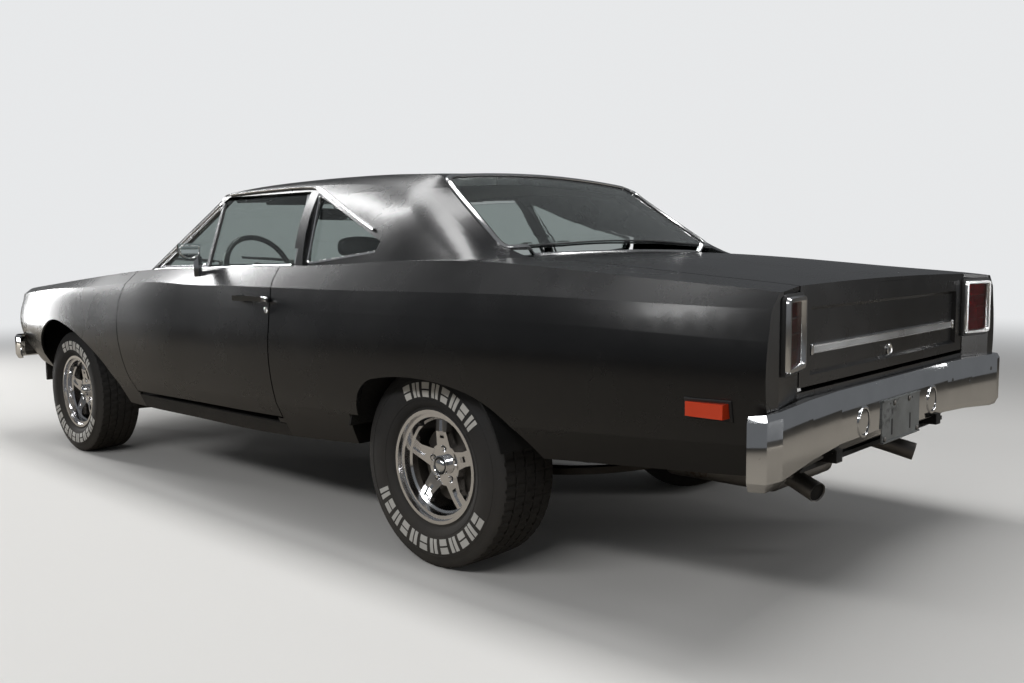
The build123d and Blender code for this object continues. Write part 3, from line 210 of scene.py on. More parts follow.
class Effects:
    """The shader node groups that more than one finish uses."""

    def __init__(self) -> None:
        """Build each group once."""
        self.mottle = self._mottle()
        self.soiling = self._soiling()
        self.scuffs = self._scuffs()
        self.pebble = self._pebble()

    @staticmethod
    def _mottle() -> bpy.types.NodeTree:
        """Build soft uneven patches.

        Returns:
            A group that puts out a mask from 0 to 1.
        """
        tree, inputs, leave = new_group("mottle", {"Scale": 3.0, "Contrast": 1.0}, ["Mask"])
        place = tree.add("TexCoord").outputs["Object"]
        noise = tree.add("TexNoise", Vector=place, Scale=inputs["Scale"], Detail=6.0, Roughness=0.6)
        centred = tree.math("SUBTRACT", noise.outputs[0], 0.5)
        mask = tree.math("ADD", tree.math("MULTIPLY", centred, tree.math("MULTIPLY", inputs["Contrast"],
                                                                         2.0)), 0.5)
        clamp = tree.add("Clamp", Value=mask)
        tree.tree.links.new(clamp.outputs[0], leave.inputs["Mask"])
        return tree.tree

    @staticmethod
    def _soiling() -> bpy.types.NodeTree:
        """Build a mask that thickens towards the ground, for dust and, on the paint, a painted floor
        reflection.

        Returns:
            A group that puts out a mask from 0 at Top to 1 at Bottom, broken up by noise.
        """
        tree, inputs, leave = new_group("soiling", {"Top": 0.7, "Bottom": 0.1, "Scale": 9.0}, ["Mask"])
        place = tree.add("TexCoord").outputs["Object"]
        height = tree.add("SeparateXYZ", Vector=place).outputs["Z"]
        ramp = tree.add("MapRange", Value=height, From_Min=inputs["Top"], From_Max=inputs["Bottom"])
        noise = tree.add("TexNoise", Vector=place, Scale=inputs["Scale"], Detail=8.0, Roughness=0.65)
        broken = tree.math("MULTIPLY", ramp.outputs[0], tree.spread(noise.outputs[0], 0.2, 1.6))
        clamp = tree.add("Clamp", Value=broken)
        tree.tree.links.new(clamp.outputs[0], leave.inputs["Mask"])
        return tree.tree

    @staticmethod
    def _scuffs() -> bpy.types.NodeTree:
        """Build fine scattered wear.

        Returns:
            A group that puts out a mask whose share of worn places is Amount.
        """
        tree, inputs, leave = new_group("scuffs", {"Scale": 40.0, "Amount": 0.3}, ["Mask"])
        place = tree.add("TexCoord").outputs["Object"]
        coarse = tree.add("TexNoise", Vector=place, Scale=tree.math("MULTIPLY", inputs["Scale"], 0.12),
                          Detail=3.0)
        fine = tree.add("TexNoise", Vector=place, Scale=inputs["Scale"], Detail=9.0, Roughness=0.75)
        both = tree.math("MULTIPLY", coarse.outputs[0], fine.outputs[0])
        edge = tree.math("SUBTRACT", 0.5, tree.math("MULTIPLY", inputs["Amount"], 0.45))
        mask = tree.add("MapRange", Value=both, From_Min=edge, From_Max=tree.math("ADD", edge, 0.08))
        tree.tree.links.new(mask.outputs[0], leave.inputs["Mask"])
        return tree.tree

    @staticmethod
    def _pebble() -> bpy.types.NodeTree:
        """Build the small closed cells of grained vinyl, cast iron or moulded plastic.

        Returns:
            A group that puts out a height from 0 to 1.
        """
        tree, inputs, leave = new_group("pebble", {"Scale": 400.0}, ["Height"])
        place = tree.add("TexCoord").outputs["Object"]
        cells = tree.add("TexVoronoi", Vector=place, Scale=inputs["Scale"])
        noise = tree.add("TexNoise", Vector=place, Scale=tree.math("MULTIPLY", inputs["Scale"], 2.0),
                         Detail=2.0)
        height = tree.math("ADD", tree.math("MULTIPLY", cells.outputs["Distance"], 0.8),
                           tree.math("MULTIPLY", noise.outputs[0], 0.4))
        tree.tree.links.new(height, leave.inputs["Height"])
        return tree.tree


@dataclass(frozen=True)
class Finish:
    """An opaque finish: its colour, its gloss, its grain and its wear."""

    name: str
    colour: Colour
    roughness: float
    rough_spread: float = 0.08
    metallic: float = 0.0
    coat: float = 0.0
    coat_roughness: float = 0.1
    worn_colour: Colour = (0.3, 0.3, 0.3)
    worn: float = 0.0
    worn_scale: float = 40.0
    # Dust towards the ground; on the paint this band is also a painted floor reflection.
    soil_colour: Colour = (0.20, 0.17, 0.13)
    soil: float = 0.0
    soil_top: float = 0.7
    soil_bottom: float = 0.05
    mottle_scale: float = 3.0
    grain_scale: float = 0.0
    grain_depth: float = 0.0
    tint_spread: float = 0.12
    ripple_scale: float = 0.0
    ripple_depth: float = 0.0
    curl_height: float = 0.0
    curl: float = 0.0

    def build(self, effects: Effects) -> bpy.types.Material:
        """Make the material.

        Args:
            effects: the shared shader groups.

        Returns:
            The material, with its colour, roughness and bump driven by those groups.
        """
        material = bpy.data.materials.new(self.name)
        material.use_nodes = True
        material.node_tree.nodes.clear()
        tree = Tree(material.node_tree)
        mottle = tree.add("Group", node_tree=effects.mottle, Scale=self.mottle_scale).outputs["Mask"]
        darker = tuple(channel * (1.0 - self.tint_spread) for channel in self.colour)
        lighter = tuple(channel * (1.0 + self.tint_spread) for channel in self.colour)
        colour = tree.blend(mottle, darker, lighter)
        roughness = tree.spread(mottle, self.roughness - self.rough_spread,
                                self.roughness + self.rough_spread)
        if self.worn:
            scuffs = tree.add("Group", node_tree=effects.scuffs, Scale=self.worn_scale, Amount=self.worn)
            colour = tree.blend(scuffs.outputs["Mask"], colour, self.worn_colour)
            roughness = tree.math("ADD", roughness, tree.math("MULTIPLY", scuffs.outputs["Mask"], 0.2))
        # Lighter, browner colour towards the ground: dust, and on the paint a painted floor reflection from
        # 0.62 m down.
        if self.soil:
            soiling = tree.add("Group", node_tree=effects.soiling, Top=self.soil_top, Bottom=self.soil_bottom)
            dust_and_floor_reflection_share = tree.math("MULTIPLY", soiling.outputs["Mask"], self.soil)
            colour = tree.blend(dust_and_floor_reflection_share, colour, self.soil_colour)
            roughness = tree.math("ADD", roughness, tree.math("MULTIPLY", dust_and_floor_reflection_share, 0.45))
        shader = tree.add("BsdfPrincipled", Base_Color=colour, Roughness=roughness, Metallic=self.metallic,
                          Coat_Weight=self.coat, Coat_Roughness=self.coat_roughness)
        height = None
        if self.grain_depth:
            height = tree.add("Group", node_tree=effects.pebble, Scale=self.grain_scale).outputs["Height"]
            bump = tree.add("Bump", Height=height, Distance=self.grain_depth, Strength=1.0)
            tree.tree.links.new(bump.outputs[0], shader.inputs["Normal"])
        if self.ripple_depth:
            wave = tree.add("Group", node_tree=effects.mottle, Scale=self.ripple_scale).outputs["Mask"]
            bump = tree.add("Bump", Height=wave, Distance=self.ripple_depth, Strength=1.0)
            tree.tree.links.new(bump.outputs[0], shader.inputs["Normal"])
        if self.curl:
            place = tree.add("TexCoord").outputs["Object"]
            off = tree.math("SUBTRACT", tree.add("SeparateXYZ", Vector=place).outputs["Z"], self.curl_height)
            bowed = tree.math("MULTIPLY", tree.math("MULTIPLY", off, off), -1.0)
            bump = tree.add("Bump", Height=bowed, Distance=self.curl, Strength=1.0)
            tree.tree.links.new(bump.outputs[0], shader.inputs["Normal"])
        output = tree.add("OutputMaterial")
        tree.tree.links.new(shader.outputs[0], output.inputs["Surface"])
        return material


@dataclass(frozen=True)
class Clear:
    """Window glass or a lamp lens that light passes through."""

    name: str
    colour: Colour
    roughness: float = 0.0
    ior: float = 1.45
    smear: float = 0.03

    def build(self, effects: Effects) -> bpy.types.Material:
        """Make the material.

        Args:
            effects: the shared shader groups.

        Returns:
            The material, with faint smears in its roughness.
        """
        material = bpy.data.materials.new(self.name)
        material.use_nodes = True
        material.node_tree.nodes.clear()
        tree = Tree(material.node_tree)
        mottle = tree.add("Group", node_tree=effects.mottle, Scale=5.0).outputs["Mask"]
        roughness = tree.spread(mottle, self.roughness, self.roughness + self.smear)
        colour = tree.blend(mottle, self.colour, tuple(channel * 0.97 for channel in self.colour))
        shader = tree.add("BsdfPrincipled", Base_Color=colour, Roughness=roughness, IOR=self.ior,
                          Transmission_Weight=1.0)
        output = tree.add("OutputMaterial")
        tree.tree.links.new(shader.outputs[0], output.inputs["Surface"])
        return material


class Look(Enum):
    """Every finish on the car."""

    # The paint's lighter brownish band from 0.62 m down is a painted floor reflection as well as dust.
    PAINT = Finish("satin_black_paint", (0.0045, 0.0045, 0.005), 0.27, 0.04, coat=0.2, coat_roughness=0.12,
                   soil=0.10, soil_top=0.62, soil_bottom=0.25, soil_colour=(0.075, 0.060, 0.045),
                   tint_spread=0.2)
    UNDERSEAL = Finish("dusty_underseal", (0.008, 0.008, 0.008), 0.8, 0.1, soil=0.25, soil_top=0.5,
                       soil_bottom=0.2, grain_scale=120.0, grain_depth=0.0015)
    CHROME = Finish("bright_chrome", (0.86, 0.87, 0.88), 0.05, 0.03, metallic=1.0, worn=0.10,
                    worn_colour=(0.35, 0.32, 0.28), tint_spread=0.03)
    BUMPER = Finish("worn_bumper_chrome", (0.84, 0.85, 0.86), 0.07, 0.04, metallic=1.0, worn=0.22,
                    worn_colour=(0.24, 0.17, 0.12), worn_scale=60.0, tint_spread=0.05, mottle_scale=7.0,
                    curl_height=0.575, curl=1.9)
    TRIM = Finish("stainless_trim", (0.88, 0.88, 0.88), 0.20, 0.05, metallic=1.0, worn=0.08,
                  worn_colour=(0.4, 0.38, 0.35), tint_spread=0.03)
    RIM = Finish("polished_rim", (0.90, 0.90, 0.91), 0.12, 0.05, metallic=1.0, tint_spread=0.04, soil=0.06,
                 soil_top=0.5)
    RUBBER = Finish("tyre_rubber", (0.020, 0.020, 0.021), 0.72, 0.1, soil=0.2, soil_top=0.6, soil_bottom=0.0,
                    grain_scale=500.0, grain_depth=0.0004)
    WHITE_RUBBER = Finish("white_rubber", (0.62, 0.61, 0.58), 0.6, 0.08, worn=0.15,
                          worn_colour=(0.2, 0.19, 0.18))
    IRON = Finish("oily_iron", (0.045, 0.042, 0.040), 0.62, 0.12, metallic=0.6, soil=0.5, soil_top=0.6,
                  grain_scale=260.0, grain_depth=0.0008)
    STEEL = Finish("weathered_steel", (0.20, 0.19, 0.18), 0.45, 0.12, metallic=0.9, worn=0.4,
                   worn_colour=(0.10, 0.06, 0.04), mottle_scale=8.0)
    BRUSHED = Finish("brushed_trim", (0.52, 0.53, 0.54), 0.32, 0.08, metallic=0.9, tint_spread=0.06, worn=0.2,
                     worn_colour=(0.2, 0.2, 0.2))
    SOOT = Finish("exhaust_soot", (0.010, 0.009, 0.008), 0.95, 0.03, grain_scale=500.0, grain_depth=0.0005)
    MIRROR = Finish("mirror_glass", (0.90, 0.91, 0.92), 0.02, 0.01, metallic=1.0, tint_spread=0.02)
    DIAL = Finish("gauge_face", (0.012, 0.012, 0.013), 0.35, 0.05, coat=0.4)
    ENGINE = Finish("engine_enamel", (0.30, 0.055, 0.018), 0.42, 0.1, coat=0.2, soil=0.5, soil_top=0.8,
                    soil_bottom=0.3,
                    soil_colour=(0.05, 0.04, 0.03), grain_scale=220.0, grain_depth=0.0006)
    CAST = Finish("cast_aluminium", (0.34, 0.34, 0.34), 0.55, 0.1, metallic=0.8, grain_scale=300.0,
                  grain_depth=0.0006,
                  soil=0.35, soil_top=0.8)
    FILTER = Finish("filter_paper", (0.52, 0.44, 0.30), 0.85, 0.05, grain_scale=200.0, grain_depth=0.002)
    BOTTLE = Finish("washer_bottle", (0.62, 0.63, 0.60), 0.45, 0.08, tint_spread=0.08)
    PLATE = Finish("weathered_bracket", (0.20, 0.21, 0.21), 0.5, 0.1, metallic=0.7, worn=0.5,
                   worn_colour=(0.06, 0.06, 0.06), worn_scale=30.0, mottle_scale=14.0, tint_spread=0.3)
    # Black plastic, also used as painted shade for holes, slots and grooves.
    BLACK_PLASTIC = Finish("black_plastic", (0.018, 0.018, 0.018), 0.5, 0.08, grain_scale=600.0,
                           grain_depth=0.0003)
    WHEEL_PLASTIC = Finish("steering_wheel_plastic", (0.012, 0.012, 0.012), 0.3, 0.06)
    VINYL = Finish("black_vinyl", (0.022, 0.022, 0.023), 0.42, 0.06, grain_scale=420.0, grain_depth=0.0007)
    CARPET = Finish("black_carpet", (0.014, 0.014, 0.014), 0.95, 0.04, grain_scale=300.0, grain_depth=0.003)
    WINDOW = Clear("window_glass", (0.74, 0.80, 0.78))
    RED_LENS = Clear("red_lens", (0.42, 0.010, 0.012), 0.08, 1.49, 0.05)
    ORANGE_LENS = Finish("marker_lens", (0.72, 0.055, 0.012), 0.25, 0.05, coat=0.6)
    CLEAR_LENS = Clear("headlamp_lens", (0.95, 0.95, 0.93), 0.03, 1.5, 0.03)


class Paintbox:
    """Builds each finish once and hands it out."""

    def __init__(self) -> None:
        """Prepare the shared effects."""
        self.effects = Effects()
        self.made: dict[Look, bpy.types.Material] = {}

    def get(self, look: Look) -> bpy.types.Material:
        """Give the material of a look, building it the first time.

        Args:
            look: the finish asked for.

        Returns:
            The material.
        """
        if look not in self.made:
            self.made[look] = look.value.build(self.effects)
        return self.made[look]

    def dress(self, node: bpy.types.Object, look: Look) -> None:
        """Put one look on the whole of an object."""
        node.data.materials.clear()
        node.data.materials.append(self.get(look))


NODE_LOOKS: dict[Look, tuple[str, ...]] = {
    Look.PAINT: ("roof", "quarter_panel_left", "quarter_panel_right", "fender_left", "fender_right",
                 "tail_panel", "hood", "deck_lid", "door_left", "door_right", "parcel_shelf", "nose_panel"),
    Look.UNDERSEAL: ("front_structure", "underbody"),
    Look.BUMPER: ("bumper_front", "bumper_rear"),
    Look.BLACK_PLASTIC: ("grille", "dashboard"),
    Look.WHEEL_PLASTIC: ("steering_wheel",),
    Look.WINDOW: ("windshield", "rear_window", "quarter_glass_left", "quarter_glass_right",
                  "door_glass_left", "door_glass_right"),
    Look.IRON: ("suspension_front", "rear_axle", "leaf_spring_left", "leaf_spring_right", "engine",
                "driveshaft", "knuckle_left", "knuckle_right", "brake_drum_front_left",
                "brake_drum_front_right", "brake_drum_rear_left", "brake_drum_rear_right"),
    Look.STEEL: ("exhaust", "fuel_tank"),
    Look.PLATE: ("plate_bracket",),
    Look.VINYL: ("seats_front", "rear_seat_cushion", "rear_seat_back"),
    Look.RED_LENS: ("tail_lamps",),
    Look.CLEAR_LENS: ("headlamps",),
    Look.CHROME: ("door_fittings_left", "door_fittings_right"),
    Look.ORANGE_LENS: ("marker_lamps",),
    Look.RUBBER: ("tyre_front_left", "tyre_front_right", "tyre_rear_left", "tyre_rear_right"),
    Look.RIM: ("rim_front_left", "rim_front_right", "rim_rear_left", "rim_rear_right"),
}


@dataclass
class Studio:
    """The floor, the soft lamps and the camera at the photograph's viewpoint."""

    floor_size: float = 120.0
    floor_seen: Colour = (0.70, 0.69, 0.67)
    floor_met: Colour = (0.26, 0.235, 0.20)
    pale: Colour = (0.80, 0.81, 0.82)
    fade_start: float = 5.0
    fade_end: float = 13.0
    lamps: list[tuple[str, Point, tuple[float, float], float, Point]] = field(default_factory=lambda: [
        ("overhead_strip", (-0.8, 0.0, 5.6), (8.0, 1.4), 230.0, (-0.8, 0.0, 0.5)),
        ("left_strip", (-2.0, 6.2, 4.6), (7.0, 0.7), 190.0, (-0.8, 0.8, 0.6)),
        ("front_strip", (6.8, 1.6, 4.2), (0.8, 9.0), 380.0, (0.0, 0.6, 0.9)),
        ("rear_strip", (-7.0, -4.5, 2.6), (0.6, 5.0), 110.0, (-2.4, 0.0, 0.7)),
    ])

    def camera(self) -> None:
        """Place the camera as the photograph was taken."""
        heading = Vector((math.cos(CAMERA_YAW) * math.cos(CAMERA_PITCH),
                          math.sin(CAMERA_YAW) * math.cos(CAMERA_PITCH), math.sin(CAMERA_PITCH)))
        level = Vector((math.sin(CAMERA_YAW), -math.cos(CAMERA_YAW), 0.0))
        down = heading.cross(level)
        right = level * math.cos(CAMERA_ROLL) + down * math.sin(CAMERA_ROLL)
        down = down * math.cos(CAMERA_ROLL) - level * math.sin(CAMERA_ROLL)
        data = bpy.data.cameras.new("photo_camera")
        data.sensor_width = SENSOR_WIDTH
        data.lens = FOCAL_PIXELS / FRAME_WIDTH * SENSOR_WIDTH
        data.clip_end = 200.0
        camera = bpy.data.objects.new("photo_camera", data)
        camera.matrix_world = Matrix.Translation(CAMERA_PLACE) @ Matrix((right, -down,
                                                                         -heading)).transposed().to_4x4()
        bpy.context.scene.collection.objects.link(camera)
        bpy.context.scene.camera = camera

    def floor(self) -> None:
        """Lay the floor, pale to the camera and mild to the car."""
        mesh = bpy.data.meshes.new("floor")
        half = self.floor_size / 2
        mesh.from_pydata([(-half, -half, 0), (half, -half, 0), (half, half, 0), (-half, half, 0)], [],
                         [(0, 1, 2, 3)])
        floor = bpy.data.objects.new("floor", mesh)
        bpy.context.scene.collection.objects.link(floor)
        material = bpy.data.materials.new("floor")
        material.use_nodes = True
        material.node_tree.nodes.clear()
        tree = Tree(material.node_tree)
        path = tree.add("LightPath")
        seen = tree.add("BsdfDiffuse", Color=self.floor_seen)
        met = tree.add("BsdfDiffuse", Color=self.floor_met)
        near = tree.add("MixShader", Fac=path.outputs["Is Camera Ray"])
        tree.tree.links.new(met.outputs[0], near.inputs[1])
        tree.tree.links.new(seen.outputs[0], near.inputs[2])
        place = tree.add("TexCoord").outputs["Object"]
        reach = tree.add("VectorMath", operation="LENGTH")
        tree.tree.links.new(place, reach.inputs[0])
        fade = tree.add("MapRange", Value=reach.outputs["Value"], From_Min=self.fade_start,
                        From_Max=self.fade_end)
        fade.interpolation_type = "SMOOTHSTEP"
        far = tree.add("Emission", Color=self.pale, Strength=1.0)
        share = tree.math("MULTIPLY", fade.outputs[0], path.outputs["Is Camera Ray"])
        mix = tree.add("MixShader", Fac=share)
        tree.tree.links.new(near.outputs[0], mix.inputs[1])
        tree.tree.links.new(far.outputs[0], mix.inputs[2])
        output = tree.add("OutputMaterial")
        tree.tree.links.new(mix.outputs[0], output.inputs["Surface"])
        mesh.materials.append(material)

    def light(self) -> None:
        """Hang the lamps and set the world."""
        for name, place, size, power, target in self.lamps:
            data = bpy.data.lights.new(name, "AREA")
            data.shape = "RECTANGLE"
            data.size, data.size_y = size
            data.energy = power
            lamp = bpy.data.objects.new(name, data)
            lamp.location = place
            lamp.rotation_euler = (Vector(target) - Vector(place)).to_track_quat("-Z", "Y").to_euler()
            bpy.context.scene.collection.objects.link(lamp)
        world = bpy.data.worlds.new("studio")
        world.use_nodes = True
        world.node_tree.nodes.clear()
        tree = Tree(world.node_tree)
        path = tree.add("LightPath")
        through = tree.math("MULTIPLY", path.outputs["Is Transmission Ray"], 0.42)
        seen = tree.math("MAXIMUM", path.outputs["Is Camera Ray"], through)
        dim = tree.add("Background", Color=(0.75, 0.78, 0.82), Strength=0.16)
        pale = tree.add("Background", Color=self.pale, Strength=1.0)
        mix = tree.add("MixShader", Fac=seen)
        tree.tree.links.new(dim.outputs[0], mix.inputs[1])
        tree.tree.links.new(pale.outputs[0], mix.inputs[2])
        output = tree.add("OutputWorld")
        tree.tree.links.new(mix.outputs[0], output.inputs["Surface"])
        bpy.context.scene.world = world

    def build(self) -> None:
        """Set up everything round the car."""
        self.camera()
        self.floor()
        self.light()
        bpy.context.scene.view_settings.view_transform = "Standard"


class Workshop:
    """Makes meshes in metres, gives each its finish and fixes it to a body of the car."""

    def __init__(self, frame: dict, paints: Paintbox) -> None:
        """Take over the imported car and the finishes.

        Args:
            paints: the finishes.
        """
        self.nodes = frame["nodes"]
        self.paints = paints
        self.trees: dict[str, BVHTree] = {}
        self.made = 0

    def piece(self, name: str, points: Sequence, faces: Sequence, look: Look, body: str = "root",
              bevel: float = 0.0, levels: int = 0, sharp: float = 35.0) -> bpy.types.Object:
        """Make one piece from its points and faces.

        Args:
            name: the piece's name.
            points: its vertices.
            faces: its faces, as indices of the vertices.
            look: its finish.
            body: the body it rides on.
            bevel: width of the rounding along its sharp edges, 0 for none.
            levels: subdivision levels.
            sharp: edges that bend by more degrees than this stay sharp.

        Returns:
            The new object.
        """
        mesh = bpy.data.meshes.new(name)
        mesh.from_pydata([tuple(point) for point in points], [], [tuple(face) for face in faces])
        shell = bmesh.new()
        shell.from_mesh(mesh)
        bmesh.ops.remove_doubles(shell, verts=shell.verts, dist=1e-5)
        bmesh.ops.recalc_face_normals(shell, faces=shell.faces)
        shell.to_mesh(mesh)
        shell.free()
        mesh.polygons.foreach_set("use_smooth", [True] * len(mesh.polygons))
        mesh.set_sharp_from_angle(angle=math.radians(sharp))
        mesh.materials.append(self.paints.get(look))
        made = bpy.data.objects.new(name, mesh)
        bpy.context.scene.collection.objects.link(made)
        if bevel:
            rounding = made.modifiers.new("rounding", "BEVEL")
            rounding.width = bevel
            rounding.segments = 2
            rounding.limit_method = "ANGLE"
        if levels:
            made.modifiers.new("smoothing", "SUBSURF").levels = levels
            made.modifiers["smoothing"].render_levels = levels
        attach(made, body)
        self.made += 1
        return made

    def block(self, name: str, low: Point, high: Point, look: Look, body: str = "root",
              bevel: float = 0.004) -> bpy.types.Object:
        """Make a box with rounded edges between two corners.

        Args:
            name: the piece's name.
            low: the box's lowest corner.
            high: the box's highest corner.
            look: the finish.
            body: the body that carries it.
            bevel: the rounding of the edges.

        Returns:
            The piece.
        """
        points = [(x, y, z) for x in (low[0], high[0]) for y in (low[1], high[1]) for z in (low[2], high[2])]
        faces = [(0, 1, 3, 2), (4, 6, 7, 5), (0, 4, 5, 1), (2, 3, 7, 6), (0, 2, 6, 4), (1, 5, 7, 3)]
        return self.piece(name, points, faces, look, body, bevel)

    def prism(self, name: str, outline: Sequence[Point], shift: Point, look: Look, body: str = "root",
              bevel: float = 0.002) -> bpy.types.Object:
        """Make a plate from an outline in space and the vector that it is carried along.

        Args:
            name: the piece's name.
            outline: the points round the plate.
            shift: the vector it is carried along.
            look: the finish.
            body: the body that carries it.
            bevel: the rounding of the edges.

        Returns:
            The piece.
        """
        count = len(outline)
        points = [Vector(point) for point in outline] + [Vector(point) + Vector(shift) for point in outline]
        faces = [tuple(range(count)), tuple(range(2 * count - 1, count - 1, -1))]
        faces += [(i, (i + 1) % count, (i + 1) % count + count, i + count) for i in range(count)]
        return self.piece(name, points, faces, look, body, bevel)

    def lathe(self, name: str, centre: Point, profile: Sequence[tuple[float, float]], look: Look,
              body: str = "root", axis: Point = (0, 1, 0), steps: int = 48,
              closed: bool = False) -> bpy.types.Object:
        """Turn a profile round an axis.

        Args:
            name: the piece's name.
            centre: a point on the axis.
            profile: pairs of distance along the axis and from it.
            look: its finish.
            body: the body it rides on.
            axis: the axis's direction.
            steps: sides of the turned piece.
            closed: whether the profile's last point joins its first.

        Returns:
            The new object.
        """
        along = Vector(axis).normalized()
        across = along.orthogonal().normalized()
        third = along.cross(across)
        points = []
        for step in range(steps):
            angle = 2 * math.pi * step / steps
            out = across * math.cos(angle) + third * math.sin(angle)
            points += [Vector(centre) + along * distance + out * radius for distance, radius in profile]
        count = len(profile)
        faces = []
        for step in range(steps):
            this, other = step * count, (step + 1) % steps * count
            for i in range(count if closed else count - 1):
                j = (i + 1) % count
                faces.append((this + i, this + j, other + j, other + i))
        return self.piece(name, points, faces, look, body)

    def sweep(self, name: str, path: Sequence, section: Sequence[tuple[float, float]], look: Look,
              body: str = "root", ups: object = (0, 0, 1), closed: bool = False, sharp: float = 35.0,
              scales: Optional[Sequence[float]] = None) -> bpy.types.Object:
        """Carry a closed section along a path.

        Args:
            name: the piece's name.
            path: the points it follows.
            section: pairs of distance to the side and upwards.
            look: its finish.
            body: the body it rides on.
            ups: the section's upward direction, one for all points or one for each.
            closed: whether the path's last point joins its first.
            sharp: edges that bend by more degrees than this stay sharp.
            scales: a size factor for each point.

        Returns:
            The new object.
        """
        path = [Vector(point) for point in path]
        single = not isinstance(ups[0], (Vector, tuple, list))
        count = len(section)
        points = []
        for i, point in enumerate(path):
            before = path[i - 1] if i or closed else point
            after = path[(i + 1) % len(path)] if i + 1 < len(path) or closed else point
            along = (after - before).normalized()
            up = Vector(ups if single else ups[i])
            side = along.cross(up).normalized()
            up = side.cross(along).normalized()
            size = scales[i] if scales else 1.0
            stretch = 1.0
            if closed or 0 < i < len(path) - 1:
                stretch = 1.0 / max(0.5, (point - before).normalized().dot(along)) if point != before else 1.0
            points += [point + side * a * size * stretch + up * b * size for a, b in section]
        faces = []
        for i in range(len(path) if closed else len(path) - 1):
            this, other = i * count, (i + 1) % len(path) * count
            faces += [(this + k, this + (k + 1) % count, other + (k + 1) % count,
                       other + k) for k in range(count)]
        if not closed:
            faces += [tuple(range(count)), tuple(range(len(points) - 1, len(points) - count - 1, -1))]
        return self.piece(name, points, faces, look, body, sharp=sharp)

    def tube(self, name: str, path: Sequence, radius: float, look: Look, body: str = "root", sides: int = 12,
             closed: bool = False, up: Point = (0.02, 0.03, 1)) -> bpy.types.Object:
        """Carry a circle along a path."""
        return self.sweep(name, path, ring(radius, sides), look, body, up, closed)

    def hit(self, names: Sequence[str], origin: Sequence[float], heading: Sequence[float]) -> Optional[tuple]:
        """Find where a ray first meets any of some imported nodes.

        Args:
            names: the nodes.
            origin: where the ray starts.
            heading: its direction.

        Returns:
            The place and the surface's direction there, or None.
        """
        nearest = None
        for name in names:
            if name not in self.trees:
                mesh = self.nodes[name].data
                self.trees[name] = BVHTree.FromPolygons([vertex.co for vertex in mesh.vertices],
                                                        [polygon.vertices for polygon in mesh.polygons])
            place, normal, _, distance = self.trees[name].ray_cast(Vector(origin),
                                                                   Vector(heading).normalized())
            if place is not None and (nearest is None or distance < nearest[2]):
                nearest = (place, normal if normal.dot(Vector(heading)) < 0 else -normal, distance)
        return nearest[:2] if nearest else None

    def trace(self, names: Sequence[str], points: Sequence[Sequence[float]], heading: Sequence[float],
              lift: float = 0.0) -> tuple[list[Vector], list[Vector]]:
        """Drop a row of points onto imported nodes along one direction.

        Args:
            names: the nodes.
            points: the points, outside the car.
            heading: the direction they drop in.
            lift: how far above the surface they end.

        Returns:
            The places that were met and the surface's directions there.
        """
        places, normals = [], []
        for point in points:
            met = self.hit(names, point, heading)
            if met:
                places.append(met[0] + met[1] * lift)
                normals.append(met[1])
        return places, normals


def ring(radius: float, sides: int) -> list[tuple[float, float]]:
    """Give the corners of a round section."""
    return [(radius * math.cos(2 * math.pi * i / sides), radius * math.sin(2 * math.pi * i / sides))
            for i in range(sides)]


def strip(width: float, height: float, crown: float = 0.4) -> list[tuple[float, float]]:
    """Give the section of a moulding that stands on its middle line, its top edges eased.

    Args:
        width: its full width.
        height: its height above the surface.
        crown: the part of the height that its edges lose.

    Returns:
        The section's corners.
    """
    half = width / 2
    return [(-half, -0.001), (half, -0.001), (half, height * (1 - crown)), (half * 0.55, height),
            (-half * 0.55, height), (-half, height * (1 - crown))]


def fill_in(points: Sequence[Sequence[float]], spacing: float, closed: bool = False) -> list[Vector]:
    """Divide a row of straight runs into short steps.

    Args:
        points: the corners.
        spacing: the longest step.
        closed: whether the last corner joins the first.

    Returns:
        The corners with the steps between them.
    """
    corners = [Vector(point) for point in points]
    ends = corners[1:] + corners[:1] if closed else corners[1:]
    filled = []
    for start, end in zip(corners, ends):
        count = max(1, math.ceil((end - start).length / spacing))
        filled += [start.lerp(end, i / count) for i in range(count)]
    return filled if closed else filled + [corners[-1]]


def rounded(points: Sequence[Sequence[float]], reach: float, steps: int = 5,
            closed: bool = False) -> list[Vector]:
    """Round the corners of a path.

    Args:
        points: the corners.
        reach: how far from each corner its curve starts.
        steps: points on each curve.
        closed: whether the last corner joins the first.

    Returns:
        The rounded path.
    """
    corners = [Vector(point) for point in points]
    count = len(corners)
    path = []
    for i, corner in enumerate(corners):
        if not closed and i in (0, count - 1):
            path.append(corner)
            continue
        before, after = corners[i - 1], corners[(i + 1) % count]
        start = corner + (before - corner).normalized() * min(reach, (before - corner).length * 0.45)
        end = corner + (after - corner).normalized() * min(reach, (after - corner).length * 0.45)
        for step in range(steps + 1):
            t = step / steps
            path.append(start * (1 - t) ** 2 + corner * 2 * t * (1 - t) + end * t ** 2)
    return path


def spline(points: Sequence[Sequence[float]], steps: int = 6, closed: bool = False) -> list[Vector]:
    """Lay a smooth curve through points.

    Args:
        points: the points it passes through.
        steps: steps between two of them.
        closed: whether the last joins the first.

    Returns:
        The curve's points.
    """
    knots = [Vector(point) for point in points]
    count = len(knots)
    path = []
    for i in range(count if closed else count - 1):
        a = knots[i - 1] if i or closed else knots[0]
        b, c = knots[i], knots[(i + 1) % count]
        d = knots[(i + 2) % count] if i + 2 < count or closed else knots[-1]
        for step in range(steps):
            t = step / steps
            path.append(0.5 * (2 * b + (c - a) * t + (2 * a - 5 * b + 4 * c - d) * t * t
                               + (3 * b - a - 3 * c + d) * t ** 3))
    return path if closed else path + [knots[-1]]


